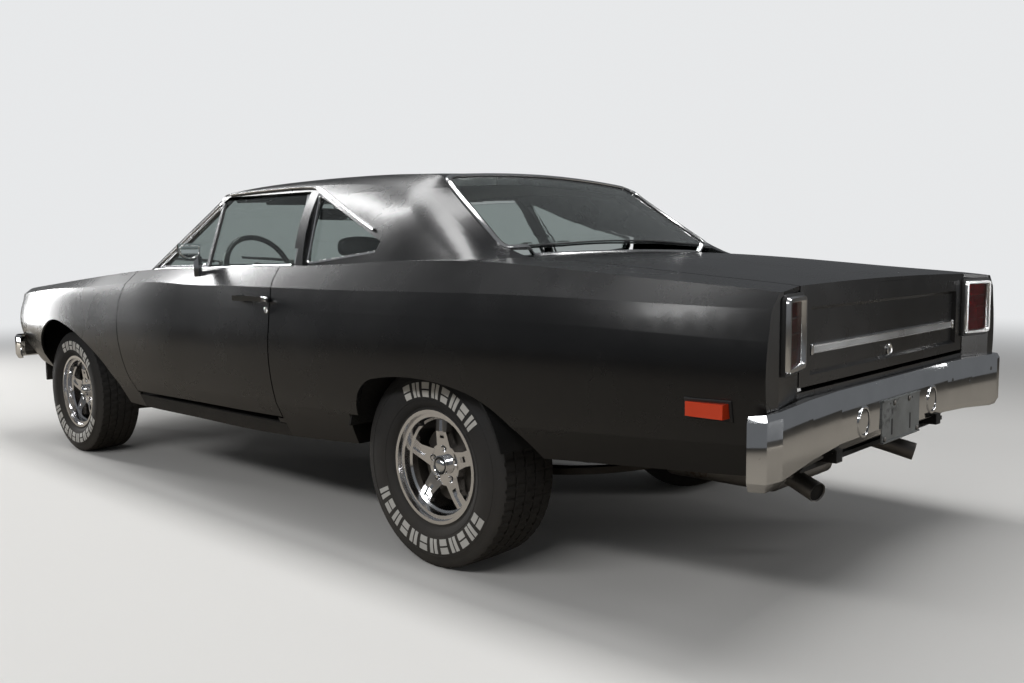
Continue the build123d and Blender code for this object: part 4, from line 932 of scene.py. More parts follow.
@dataclass
class Wheel:
    """One wheel: its treaded tyre with raised white marks, and the small parts of its rim."""

    name: str
    side: Side
    axle_x: float
    middle_y: float
    radius: float
    width: float
    seat_radius: float = 0.1915
    bead_inset: float = 0.026
    tread_depth: float = 0.008
    steps: int = 300
    lug_circle: float = 0.05715
    mark_inner: float = 0.700
    mark_outer: float = 0.846
    mark_gap: float = 0.003
    mark_groups: tuple[tuple[float, float, int], ...] = ((36, 118, 8), (202, 334, 12))

    @property
    def centre(self) -> Point:
        """The middle of the tyre."""
        return (self.axle_x, self.side.value * self.middle_y, self.radius)

    @property
    def body(self) -> str:
        """The body that turns with the wheel."""
        return f"wheel_{self.name}_{self.side.word}"

    def wall(self) -> list[tuple[float, float]]:
        """Give the tyre's outline on its outer half: distance from its middle and from the axle.

        Returns:
            The points, from the bead to the shoulder.
        """
        half = self.width / 2
        top = self.radius
        return [(half - self.bead_inset - 0.004, self.seat_radius), (half - self.bead_inset + 0.001, 0.200),
                (half - self.bead_inset + 0.003, 0.208), (half - 0.015, 0.214), (half - 0.007, 0.226),
                (half - 0.003, 0.240), (half - 0.001, 0.256), (half - 0.001, 0.276),
                (half - 0.004, top - 0.044),
                (half - 0.009, top - 0.034), (half - 0.010, top - 0.030), (half - 0.012, top - 0.016),
                (half - 0.019, top - 0.006)]

    def tread(self) -> list[tuple[float, float, bool]]:
        """Give the tread's rows: place, radius, and whether it is on a block.

        Returns:
            The rows, from the outer shoulder inwards.
        """
        half = self.width / 2 - 0.022
        top = self.radius
        ribs = 5
        groove = 0.007
        pitch = (2 * half + groove) / ribs
        rows = []
        for rib in range(ribs):
            start = half - rib * pitch
            end = start - pitch + groove
            crown = 0.003
            for place in (start, (start + end) / 2, end):
                rows.append((place, top - crown * (place / half) ** 2, True))
            if rib < ribs - 1:
                rows.append((end - 0.001, top - self.tread_depth, False))
                rows.append((end - groove + 0.001, top - self.tread_depth, False))
        return rows

    def tyre(self, shop: Workshop) -> None:
        """Make the tyre with grooves round it and across it, in place of the plain one.

        Args:
            shop: the workshop that makes the pieces.
        """
        wall = self.wall()
        rows = [(place, radius, False) for place, radius in wall] + self.tread()
        rows += [(-place, radius, False) for place, radius in reversed(wall)]
        cut_every = 6
        sign = self.side.value
        points = []
        for step in range(self.steps):
            for index, (place, radius, block) in enumerate(rows):
                slant = int(place * 120) * 2
                cut = block and (step + slant) % cut_every == 0
                reach = radius - (0.006 if cut else 0.0)
                angle = 2 * math.pi * (step + (0.2 if block else 0.0)) / self.steps
                points.append((self.axle_x + reach * math.cos(angle), self.centre[1] + sign * place,
                               self.radius + reach * math.sin(angle)))
        count = len(rows)
        faces = []
        for step in range(self.steps):
            this, other = step * count, (step + 1) % self.steps * count
            faces += [(this + i, this + (i + 1) % count, other + (i + 1) % count,
                       other + i) for i in range(count)]
        tyre = shop.piece(f"treaded_tyre_{self.name}_{self.side.word}", points, faces, Look.RUBBER,
                          self.body, sharp=28)
        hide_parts(f"tyre_{self.name}_{self.side.word}")

    def wall_out(self, reach: float) -> float:
        """Give how far out the wall lies at a distance from the axle.

        Args:
            reach: the distance from the axle.

        Returns:
            The distance from the middle of the tyre.
        """
        rows = self.wall()
        for (out, low), (next_out, high) in zip(rows, rows[1:]):
            if low <= reach <= high:
                return out + (next_out - out) * (reach - low) / (high - low)
        return rows[-1][0]

    def marks(self, shop: Workshop) -> None:
        """Make the raised white strokes on the tyre's outer wall, and its two fine ribs.

        Args:
            shop: the workshop that makes the pieces.
        """
        points: list[Point] = []
        faces: list[tuple[int, ...]] = []
        low, high = self.mark_inner * self.radius, self.mark_outer * self.radius
        middle = (low + high) / 2
        gap = self.mark_gap
        for start, end, blocks in self.mark_groups:
            pitch = math.radians(end - start) / blocks
            for block in range(blocks):
                left = math.radians(start) + block * pitch + pitch * 0.15
                right = left + pitch * 0.70
                if block % 2:
                    self._mark(points, faces, (low, middle - gap), left, right)
                    self._mark(points, faces, (middle + gap, high), left, right)
                else:
                    centre = (left + right) / 2
                    self._mark(points, faces, (low, high), left, centre - gap / middle)
                    self._mark(points, faces, (low, high), centre + gap / middle, right)
        marks = shop.piece(f"tyre_marks_{self.name}_{self.side.word}", points, faces, Look.WHITE_RUBBER,
                           self.body)
        for radius in (low - 0.010, high + 0.008):
            rib = shop.lathe(f"tyre_rib_{self.name}_{self.side.word}_{round(radius * 1000)}", self.centre,
                             [(self.side.value * (self.wall_out(radius + width) + rise), radius + width)
                              for rise, width in ((-0.001, -0.0012), (0.0012, 0), (-0.001, 0.0012))],
                             Look.RUBBER, self.body, steps=120)

    def _mark(self, points: list, faces: list, reaches: tuple[float, float], low: float, high: float) -> None:
        """Add one raised stroke on the bulged wall, between two angles and two distances from the axle.

        Args:
            points: the points, to which this adds.
            faces: the faces, to which this adds.
            reaches: the distances from the axle.
            low: the angle where it starts.
            high: the angle where it ends.
        """
        steps = max(1, round((high - low) / 0.03))
        rows = max(1, round((reaches[1] - reaches[0]) / 0.010))
        section = [(reaches[0], -0.002)]
        section += [(reaches[0] + (reaches[1] - reaches[0]) * row / rows, 0.0009) for row in range(rows + 1)]
        section += [(reaches[1], -0.002)]
        count = len(section)
        base = len(points)
        for i in range(steps + 1):
            angle = low + (high - low) * i / steps
            for reach, lift in section:
                points.append((self.axle_x + reach * math.cos(angle) * self.turn_sign,
                               self.centre[1] + self.side.value * (self.wall_out(reach) + lift),
                               self.radius + reach * math.sin(angle)))
        for i in range(steps):
            a, b = base + i * count, base + (i + 1) * count
            faces += [(a + k, a + (k + 1) % count, b + (k + 1) % count, b + k) for k in range(count)]
        faces += [tuple(base + k for k in range(count)),
                  tuple(base + steps * count + k for k in reversed(range(count)))]

    @property
    def turn_sign(self) -> float:
        """The way that angles run, the same to someone who looks at either side's outer wall."""
        return -1.0 * self.side.value

    def fittings(self, shop: Workshop) -> None:
        """Make the lug nuts, the cap's rings, the valve and a balance weight.

        Args:
            shop: the workshop that makes the pieces.
        """
        sign = self.side.value
        face = sign * (self.width / 2 - self.bead_inset)
        out = (0, sign, 0)
        label = f"{self.name}_{self.side.word}"
        for lug in range(5):
            angle = math.radians(90 + lug * 72)
            place = (self.axle_x + self.lug_circle * math.cos(angle), self.centre[1] + face - sign * 0.060,
                     self.radius + self.lug_circle * math.sin(angle))
            shop.lathe(f"lug_nut_{label}_{lug + 1}", place,
                       [(0, 0), (0, 0.0095), (0.016, 0.0095), (0.020, 0.007), (0.021, 0)], Look.CHROME,
                       self.body, out, steps=6)
        cap = (self.axle_x, self.centre[1] + face - sign * 0.026, self.radius)
        shop.lathe(f"wheel_cap_{label}", cap,
                   [(-0.004, 0.0345), (0.001, 0.0345), (0.002, 0.032), (0.000, 0.030), (0.000, 0.024),
                    (0.004, 0.021), (0.007, 0.014), (0.008, 0)], Look.CHROME, self.body, out, steps=40)
        shop.lathe(f"wheel_cap_disc_{label}", cap, [(0.0005, 0.0295), (0.0012, 0.027), (0.0005, 0.0245)],
                   Look.BLACK_PLASTIC, self.body, out, steps=40)
        valve = math.radians(54)
        stem = (self.axle_x + 0.163 * math.cos(valve), self.centre[1] + face - sign * 0.036,
                self.radius + 0.163 * math.sin(valve))
        shop.lathe(f"valve_{label}", stem, [(-0.004, 0.005), (0.010, 0.0045), (0.020, 0.003), (0.030, 0.003),
                                           (0.031, 0)], Look.RUBBER, self.body, out, steps=12)
        weight_reach = 0.1795
        weight_angles = [math.radians(200 + i * 3) for i in range(5)]
        weight = [(self.axle_x + weight_reach * math.cos(angle), self.centre[1] + face - sign * 0.0065,
                   self.radius + weight_reach * math.sin(angle)) for angle in weight_angles]
        shop.sweep(f"balance_weight_{label}", weight, strip(0.010, 0.004), Look.STEEL, self.body,
                   [(Vector(point) - Vector(self.centre)).normalized() * -1 for point in weight])

    def build(self, shop: Workshop) -> None:
        """Make the whole wheel's detail.

        Args:
            shop: the workshop that makes the pieces.
        """
        self.tyre(shop)
        self.marks(shop)
        self.fittings(shop)


@dataclass
class SideTrim:
    """Bright mouldings round the side windows, the drip rail, the handle's button, the door lock and the
    outside mirror.
    """

    belt_y: float = 0.788
    belt_z: float = 1.010
    lean: float = 0.148 / 0.336
    quarter_window: tuple[tuple[float, float], ...] = ((-0.394, 1.328), (-0.466, 1.040), (-0.934, 1.092),
                                                       (-0.950, 1.120))
    drip_rail: tuple[tuple[float, float], ...] = ((0.330, 1.3605), (0.10, 1.3655), (-0.17, 1.367),
                                                  (-0.30, 1.3635),
                                                  (-0.365, 1.356), (-0.47, 1.3225), (-0.72, 1.234),
                                                  (-0.90, 1.171))
    pillar: tuple[tuple[float, float], ...] = ((0.838, 1.030), (0.70, 1.121), (0.50, 1.255), (0.372, 1.340))
    vent_top: tuple[float, float] = (0.352, 1.318)
    vent_foot: tuple[float, float] = (0.296, 1.020)

    def on_glass(self, side: Side, x: float, z: float, out: float = 0.0) -> Vector:
        """Give the point on the side glass's outer face at a place of the side view, moved out.

        Args:
            side: the side of the car.
            x: the place along the car.
            z: the height.
            out: how far out of the glass.

        Returns:
            The point in space.
        """
        normal = Vector((0, 1, self.lean)).normalized() * out
        y = self.belt_y - (z - self.belt_z) * self.lean
        return Vector((x, side.value * (y + normal.y), z + normal.z))

    def bar(self, shop: Workshop, name: str, side: Side, points: Sequence[tuple[float, float]], look: Look,
            body: str = "root", width: float = 0.012, height: float = 0.007, closed: bool = False) -> None:
        """Make a moulding on the plane of the side glass through places of the side view.

        Args:
            shop: the workshop that makes the pieces.
            name: the piece's name.
            side: the side of the car.
            points: the places, along the car and up.
            look: the finish.
            body: the body that carries it.
            width: the moulding's width.
            height: the moulding's thickness.
            closed: whether it runs round.
        """
        path = [self.on_glass(side, x, z, 0.0015) for x, z in points]
        shop.sweep(f"{name}_{side.word}", path, strip(width, height), look, body,
                   (0, side.value, self.lean), closed)

    def windows(self, shop: Workshop, side: Side) -> None:
        """Make the vent frame, the door glass's edges and the quarter window's frame with its latch.

        Args:
            shop: the workshop that makes the pieces.
            side: the side of the car.
        """
        door = f"door_{side.word}"
        vent = rounded([(*self.vent_foot, 0), (*self.vent_top, 0)], 0.01)
        self.bar(shop, "vent_bar", side, [(p[0], p[1]) for p in vent], Look.TRIM, door, 0.012, 0.010)
        slope = [(0.742, 1.024), (0.384, 1.288), (0.352, 1.302)]
        self.bar(shop, "vent_slope", side, slope, Look.TRIM, door, 0.009, 0.008)
        self.bar(shop, "vent_sill", side, [(0.742, 1.026), (0.296, 1.030)], Look.TRIM, door, 0.010, 0.008)
        self.bar(shop, "vent_seal", side, [(0.282, 1.022), (0.336, 1.312)], Look.BLACK_PLASTIC, door, 0.006,
                 0.004)
        latch = self.on_glass(side, 0.33, 1.036, 0.004)
        shop.lathe(f"vent_pivot_{side.word}", latch, [(-0.004, 0.009), (0.004, 0.009), (0.007, 0.005),
                                                      (0.008, 0)],
                   Look.TRIM, door, (0, side.value, self.lean), steps=16)
        self.bar(shop, "glass_rear_edge", side, [(-0.394, 1.034), (-0.318, 1.326)], Look.TRIM, door, 0.017,
                 0.010)
        frame = rounded([(x, z, 0) for x, z in self.quarter_window], 0.022, closed=True)
        self.bar(shop, "quarter_frame", side, [(p[0], p[1]) for p in frame], Look.TRIM, "root", 0.015,
                 0.010, True)
        latch = self.on_glass(side, -0.918, 1.104, 0.006)
        shop.lathe(f"quarter_latch_{side.word}", latch, [(-0.006, 0.013), (0.003, 0.013), (0.006, 0.009),
                                                         (0.007, 0)],
                   Look.TRIM, "root", (0, side.value, self.lean), steps=16)

    def rails(self, shop: Workshop, side: Side) -> None:
        """Make the drip rail and the bright edge of the front pillar.

        Args:
            shop: the workshop that makes the pieces.
            side: the side of the car.
        """
        sign = side.value
        panels = ["roof", f"quarter_panel_{side.word}"]
        heading = (0, -sign, 0)
        rail = [(p[0], sign * 1.3, p[1]) for p in spline([(x, z, 0) for x, z in self.drip_rail])]
        places, _ = shop.trace(panels, rail, heading)
        ups = [(0, sign, 0.35)] * len(places)
        shop.sweep(f"drip_rail_{side.word}", places, [(-0.006, -0.002), (0.006, -0.002), (0.007, 0.009),
                                                      (0.004, 0.012),
                                                      (0.0, 0.009), (-0.005, 0.009)], Look.TRIM, "root", ups)
        edge = [(p[0], sign * 1.3, p[1]) for p in fill_in([(x, z, 0) for x, z in self.pillar], 0.03)]
        places, normals = shop.trace(["roof"], edge, heading)
        if len(places) > 2:
            shop.sweep(f"pillar_moulding_{side.word}", places, strip(0.013, 0.006), Look.TRIM, "root",
                       normals)

    def belt(self, shop: Workshop, side: Side) -> None:
        """Make the bright strip and the rubber wiper along the door's top.

        Args:
            shop: the workshop that makes the pieces.
            side: the side of the car.
        """
        sign = side.value
        door = f"door_{side.word}"
        for name, y, look, width, height in (("belt_strip", 0.806, Look.TRIM, 0.008, 0.005),
                                             ("belt_wiper", 0.796, Look.RUBBER, 0.008, 0.007)):
            row = [(x / 100, sign * y, 1.3) for x in range(76, -42, -4)]
            places, normals = shop.trace([door], row, (0, 0, -1))
            shop.sweep(f"{name}_{side.word}", places, strip(width, height), look, door, normals)

    def door_details(self, shop: Workshop, side: Side) -> None:
        """Make the handle's button and the key lock's face.

        Args:
            shop: the workshop that makes the pieces.
            side: the side of the car.
        """
        sign = side.value
        door = f"door_{side.word}"
        shop.lathe(f"handle_button_{side.word}", (-0.448, sign * 0.9795, 0.910),
                   [(-0.020, 0.0105), (-0.003, 0.0105), (0.0, 0.0085), (0.0, 0)], Look.TRIM, door,
                   (0, sign, 0),
                   steps=24)
        lock = shop.hit([f"door_fittings_{side.word}", door], (-0.446, sign * 1.2, 0.868), (0, -sign, 0))
        if lock:
            shop.lathe(f"door_lock_{side.word}", lock[0], [(-0.004, 0.013), (0.001, 0.013), (0.002, 0.010),
                                                           (0.001, 0.008),
                                                         (0.001, 0)], Look.TRIM, door, lock[1], steps=24)

    def mirror(self, shop: Workshop) -> None:
        """Make the outside mirror's glass and its bright rim, on the left door.

        Args:
            shop: the workshop that makes the pieces.
        """
        shield = [(0.1894, 0.884, 1.124), (0.1894, 0.976, 1.124), (0.1894, 0.974, 1.088),
                  (0.1894, 0.946, 1.070),
                  (0.1894, 0.914, 1.070), (0.1894, 0.886, 1.088)]
        outline = rounded(shield, 0.012, 4, closed=True)
        shop.prism("outside_mirror_glass", outline, (0.001, 0, 0), Look.MIRROR, "door_left", 0.0003)
        shop.sweep("outside_mirror_rim", [point + Vector((0.0004, 0, 0)) for point in outline],
                   strip(0.006, 0.003),
                   Look.TRIM, "door_left", (-1, 0, 0), True)

    def build(self, shop: Workshop) -> None:
        """Make the trim on both sides.

        Args:
            shop: the workshop that makes the pieces.
        """
        self.mirror(shop)
        for side in Side:
            self.windows(shop, side)
            self.rails(shop, side)
            self.belt(shop, side)
            self.door_details(shop, side)


@dataclass
class GlassTrim:
    """The bright surrounds of the windshield and the rear window, with the rear window's seal and the wipers.
    """

    screen_low: tuple[float, float, float] = (0.940, 0.706, 1.014)
    screen_high: tuple[float, float, float] = (0.416, 0.576, 1.350)
    screen_bulge_low: float = 1.014
    screen_bulge_high: float = 0.466
    foot_back: float = 0.024
    back_plan: tuple[tuple[float, float], ...] = ((-1.062, 0.568), (-1.450, 0.660), (-1.486, 0.400),
                                                  (-1.500, 0.0),
                                                  (-1.486, -0.400), (-1.450, -0.660), (-1.062, -0.568))

    def rear(self, shop: Workshop) -> None:
        """Make the moulding round the rear window, laid on the panels round its opening.

        Args:
            shop: the workshop that makes the pieces.
        """
        corners = rounded([(x, y, 1.6) for x, y in self.back_plan], 0.05, 6, closed=True)
        middle = Vector((-1.28, 0, 1.6))
        outline = fill_in([p + (p - middle).normalized() * 0.004 for p in corners], 0.03, closed=True)
        carriers = ["roof", "quarter_panel_left", "quarter_panel_right", "parcel_shelf", "rear_window"]
        places, normals = shop.trace(carriers, outline, (0, 0, -1), 0.0005)
        shop.sweep("rear_window_moulding", places, strip(0.020, 0.007, 0.5), Look.TRIM, "root", normals, True)
        inner = fill_in([p - (p - middle).normalized() * 0.012 for p in corners], 0.03, closed=True)
        places, normals = shop.trace(["rear_window"] + carriers, inner, (0, 0, -1), 0.0003)
        shop.sweep("rear_window_seal", places, strip(0.008, 0.003), Look.RUBBER, "root", normals, True)

    def front(self, shop: Workshop) -> None:
        """Make the moulding round the windshield on the glass's outer face.

        Args:
            shop: the workshop that makes the pieces.
        """
        low_x, low_y, low_z = self.screen_low
        high_x, high_y, high_z = self.screen_high
        top = [(high_x + (self.screen_bulge_high - high_x) * (1 - (y / high_y) ** 2), y, high_z - 0.006)
               for y in [high_y * i / 8 for i in range(-8, 9)]]
        foot = [(low_x - self.foot_back + (self.screen_bulge_low - low_x) * (1 - (y / low_y) ** 2), y,
                 low_z + 0.006)
                for y in [low_y * i / 8 for i in range(8, -9, -1)]]
        path = rounded(top + foot, 0.008, 2, closed=True)
        middle = Vector((0.2, 0, 0.9))
        ups = [((p - middle).normalized() + Vector((0.6, 0, 0.3))).normalized() for p in path]
        shop.sweep("windshield_moulding", [p + up * 0.004 for p, up in zip(path, ups)], strip(0.016, 0.006),
                   Look.TRIM, "root", ups, True)

    def wipers(self, shop: Workshop) -> None:
        """Make both wipers at rest along the foot of the windshield.

        Args:
            shop: the workshop that makes the pieces.
        """
        for name, pivot_y, tip_y in (("driver", 0.34, 0.66), ("passenger", -0.12, 0.22)):
            base, tip = [met[0] + met[1] * 0.009 for met in (
                shop.hit(["windshield"], (2.0, pivot_y, 1.030), (-1, 0, 0)),
                shop.hit(["windshield"], (2.0, tip_y, 1.052), (-1, 0, 0)))]
            shop.lathe(f"wiper_pivot_{name}", base, [(-0.012, 0.012), (0.010, 0.012), (0.014, 0.008),
                                                     (0.015, 0)],
                       Look.STEEL, "root", (0, 0, 1), steps=20)
            arm = spline([base + Vector((0, 0, 0.008)), base.lerp(tip, 0.35) + Vector((0.004, 0, 0.012)),
                          base.lerp(tip, 0.72) + Vector((0, 0, 0.010))])
            shop.sweep(f"wiper_arm_{name}", arm, strip(0.009, 0.004), Look.STEEL, "root", (0.5, 0, 1))
            blade = [base.lerp(tip, t) + Vector((0.004, 0, 0.002)) for t in (0.12, 0.4, 0.7, 1.0)]
            shop.sweep(f"wiper_blade_{name}", blade, [(-0.003, 0), (0.003, 0), (0.002, 0.012),
                                                      (-0.002, 0.012)],
                       Look.RUBBER, "root", (0.5, 0, 1))

    def build(self, shop: Workshop) -> None:
        """Make all of it.

        Args:
            shop: the workshop that makes the pieces.
        """
        self.rear(shop)
        self.front(shop)
        self.wipers(shop)


@dataclass
class Tail:
    """The lamps' bezels, the deck lid's strip and lock, the bracket's slots and the exhaust's open tips."""

    deck_x: float = -2.520
    bend_y: float = 0.652
    slope: float = -0.033 / 0.154
    lamp_inner: float = 0.654
    lamp_outer: float = 0.786
    lamp_low: float = 0.784
    lamp_high: float = 0.950
    lamp_depth: float = 0.0103
    recess_depth: float = 0.012
    strip_half: float = 0.563
    strip_z: float = 0.811
    bracket_x: float = -2.5543
    oval_y: float = 0.278
    oval_z: float = 0.575

    def face_x(self, y: float) -> float:
        """Give where the tail panel's face lies at a distance from the middle."""
        return self.deck_x + self.slope * max(0.0, abs(y) - self.bend_y)

    def lamps(self, shop: Workshop, side: Side) -> None:
        """Make one lamp's frame, the ribs on its lens and its inner ring.

        Args:
            shop: the workshop that makes the pieces.
            side: the side of the car.
        """
        sign = side.value
        margin = 0.008
        rows = [(self.lamp_inner - margin, self.lamp_low - margin),
                (self.lamp_outer + margin, self.lamp_low - margin),
                (self.lamp_outer + margin, self.lamp_high + margin),
                (self.lamp_inner - margin, self.lamp_high + margin)]
        for name, inset, lift, width, height, look in (("lamp_frame", 0.0, 0.0, 0.016, 0.021, Look.TRIM),
                                                       ("lamp_channel", -0.011, 0.0, 0.008, 0.010,
                                                        Look.BLACK_PLASTIC)):
            path = []
            for y, z in rows:
                near = y + (inset if y > 0.72 else -inset) * -1
                level = z + (inset if z > 0.86 else -inset) * -1
                path.append((self.face_x(near) - lift, sign * near, level))
            path = rounded(path, 0.012, 3, closed=True)
            normal = Vector((-1, sign * self.slope, 0)).normalized()
            shop.sweep(f"{name}_{side.word}", path, strip(width, height, 0.3), look, "root", tuple(normal),
                       True)
        for row in range(1, 4):
            z = self.lamp_low + (self.lamp_high - self.lamp_low) * row / 4
            path = [(self.face_x(y) - self.lamp_depth, sign * y, z) for y in (self.lamp_inner + 0.006,
                                                                              self.lamp_outer - 0.006)]
            shop.sweep(f"lens_rib_{side.word}_{row}", path, strip(0.004, 0.002), Look.RED_LENS, "root",
                       (-1, 0, 0))

    def deck(self, shop: Workshop) -> None:
        """Make the bright strip across the lid's recess, with its end caps, and the lock below it.

        Args:
            shop: the workshop that makes the pieces.
        """
        back = self.deck_x + self.recess_depth
        path = [(back, y, self.strip_z) for y in (-self.strip_half, -0.3, 0.0, 0.3, self.strip_half)]
        section = [(-0.015, -0.001), (0.015, -0.001), (0.015, 0.004), (0.011, 0.010), (0.009, 0.007),
                   (-0.009, 0.007),
                   (-0.011, 0.010), (-0.015, 0.004)]
        shop.sweep("deck_strip", path, section, Look.TRIM, "deck_lid", (-1, 0, 0))
        for side in Side:
            y = side.value * (self.strip_half - 0.006)
            shop.block(f"deck_strip_end_{side.word}", (back - 0.011, y - 0.006, self.strip_z - 0.015),
                       (back, y + 0.006, self.strip_z + 0.015), Look.TRIM, "deck_lid", 0.002)
        shop.prism("deck_strip_band", [(back - 0.0075, y, z) for y, z in
                                       ((-self.strip_half + 0.02, self.strip_z - 0.008),
                                        (self.strip_half - 0.02, self.strip_z - 0.008),
                                        (self.strip_half - 0.02, self.strip_z + 0.008),
                                        (-self.strip_half + 0.02, self.strip_z + 0.008))],
                   (0.001, 0, 0), Look.BRUSHED, "deck_lid", 0.0003)
        shop.lathe("deck_lock", (back, 0, 0.766), [(-0.002, 0.019), (0.003, 0.019), (0.005, 0.016),
                                                   (0.004, 0.012),
                                                  (0.0035, 0)], Look.TRIM, "deck_lid", (-1, 0, 0), steps=32)
        # A thin black block on the lock's face is painted shade for its key slot.
        shop.block("deck_lock_slot", (back - 0.0048, -0.0012, 0.759), (back - 0.003, 0.0012, 0.773),
                   Look.BLACK_PLASTIC,
                   "deck_lid", 0.0003)

    def bracket(self, shop: Workshop) -> None:
        """Make the plate bracket's slots as thin black strips of painted shade, its bolts and its folded
        edges.

        Args:
            shop: the workshop that makes the pieces.
        """
        x = self.bracket_x
        # Thin black strips on the bracket's face are painted shade for its slots.
        for index, (y, z, height) in enumerate(((-0.074, 0.532, 0.050), (0.074, 0.532, 0.050))):
            path = [(x - 0.0004, y, z - height / 2), (x - 0.0004, y, z + height / 2)]
            shop.sweep(f"bracket_slot_{index + 1}", path, strip(0.009, 0.0012), Look.BLACK_PLASTIC, "root",
                       (-1, 0, 0))
        for index, (y, z) in enumerate(((-0.06, 0.606), (0.06, 0.606), (-0.132, 0.500), (0.132, 0.500))):
            shop.lathe(f"bracket_bolt_{index + 1}", (x, y, z), [(-0.001, 0.009), (0.003, 0.009),
                                                                (0.004, 0.007), (0.004, 0)],
                       Look.STEEL, "root", (-1, 0, 0), steps=6)
        for name, z in (("top", 0.619), ("foot", 0.489)):
            path = [(x, -0.150, z), (x, 0.150, z)]
            shop.sweep(f"bracket_fold_{name}", path, strip(0.006, 0.004), Look.PLATE, "root", (-1, 0, 0))

    def bumper(self, shop: Workshop) -> None:
        """Make the raised ovals over the bumper's holes, with a black groove of painted shade round each
        plug, and black discs of painted shade for the small empty holes at its right.

        Args:
            shop: the workshop that makes the pieces.
        """
        for side in Side:
            y = side.value * self.oval_y
            turns = [2 * math.pi * i / 32 for i in range(32)]
            # The black groove between each plug and its ring is painted shade.
            for name, x, wide, tall, width, height, look in (
                    ("ring", -2.5505, 0.039, 0.044, 0.009, 0.0035, Look.BUMPER),
                    ("groove", -2.5503, 0.0335, 0.0385, 0.003, 0.0012, Look.BLACK_PLASTIC)):
                oval = [(x, y + wide * math.cos(a), self.oval_z + tall * math.sin(a)) for a in turns]
                shop.sweep(f"bumper_oval_{name}_{side.word}", oval, strip(width, height), look, "root",
                           (-1, 0, 0), True)
            plug = [(-2.5506, y + 0.032 * math.cos(a), self.oval_z + 0.037 * math.sin(a)) for a in turns]
            shop.prism(f"bumper_plug_{side.word}", plug, (0.002, 0, 0), Look.BUMPER, bevel=0.0006)
        # Black discs on the bumper's face are painted shade for the small empty holes.
        for index, (out, level) in enumerate(((0.47, 0.620), (0.62, 0.600), (0.80, 0.632))):
            met = shop.hit(["bumper_rear"], (-3.0, -out, level), (1, 0, 0))
            if met:
                shop.lathe(f"bumper_hole_{index + 1}", met[0], [(-0.001, 0.007), (0.0006, 0.007),
                                                                (0.0008, 0.0055), (0.0002, 0)],
                           Look.BLACK_PLASTIC, "root", met[1], steps=20)

    def exhaust(self, shop: Workshop) -> None:
        """Make the exhaust pipes' open ends.

        Args:
            shop: the workshop that makes the pieces.
        """
        for side in Side:
            sign = side.value
            end = Vector((-2.454, sign * 0.380, 0.366))
            back = (end - Vector((-2.300, sign * 0.330, 0.410))).normalized()
            shop.lathe(f"exhaust_tip_{side.word}", end - back * 0.050,
                       [(0, 0.0302), (0.054, 0.0312), (0.056, 0.0300), (0.054, 0.0278), (0.0515, 0.0272)],
                       Look.STEEL,
                       "root", back, steps=32)
            shop.lathe(f"exhaust_bore_{side.word}", end + back * 0.0012,
                       [(0, 0.0275), (0.0003, 0.014), (0.0003, 0)],
                       Look.SOOT, "root", back, steps=32)

    def markers(self, shop: Workshop) -> None:
        """Make the dark bezels round the side marker lamps.

        Args:
            shop: the workshop that makes the pieces.
        """
        for side in Side:
            sign = side.value
            low, high = (-2.470, 0.657), (-2.352, 0.703)
            outline = [(low[0], low[1]), (high[0], low[1]), (high[0], high[1]), (low[0], high[1])]
            path = [(x, sign * 1.2, z) for x, z in outline]
            path = fill_in(path, 0.02, closed=True)
            places, normals = shop.trace([f"quarter_panel_{side.word}"], path, (0, -sign, 0))
            shop.sweep(f"marker_bezel_{side.word}", places, strip(0.009, 0.005), Look.BLACK_PLASTIC, "root",
                       normals, True)

    def build(self, shop: Workshop) -> None:
        """Make all of it.

        Args:
            shop: the workshop that makes the pieces.
        """
        for side in Side:
            self.lamps(shop, side)
        self.deck(shop)
        self.bracket(shop)
        self.bumper(shop)
        self.exhaust(shop)
        self.markers(shop)


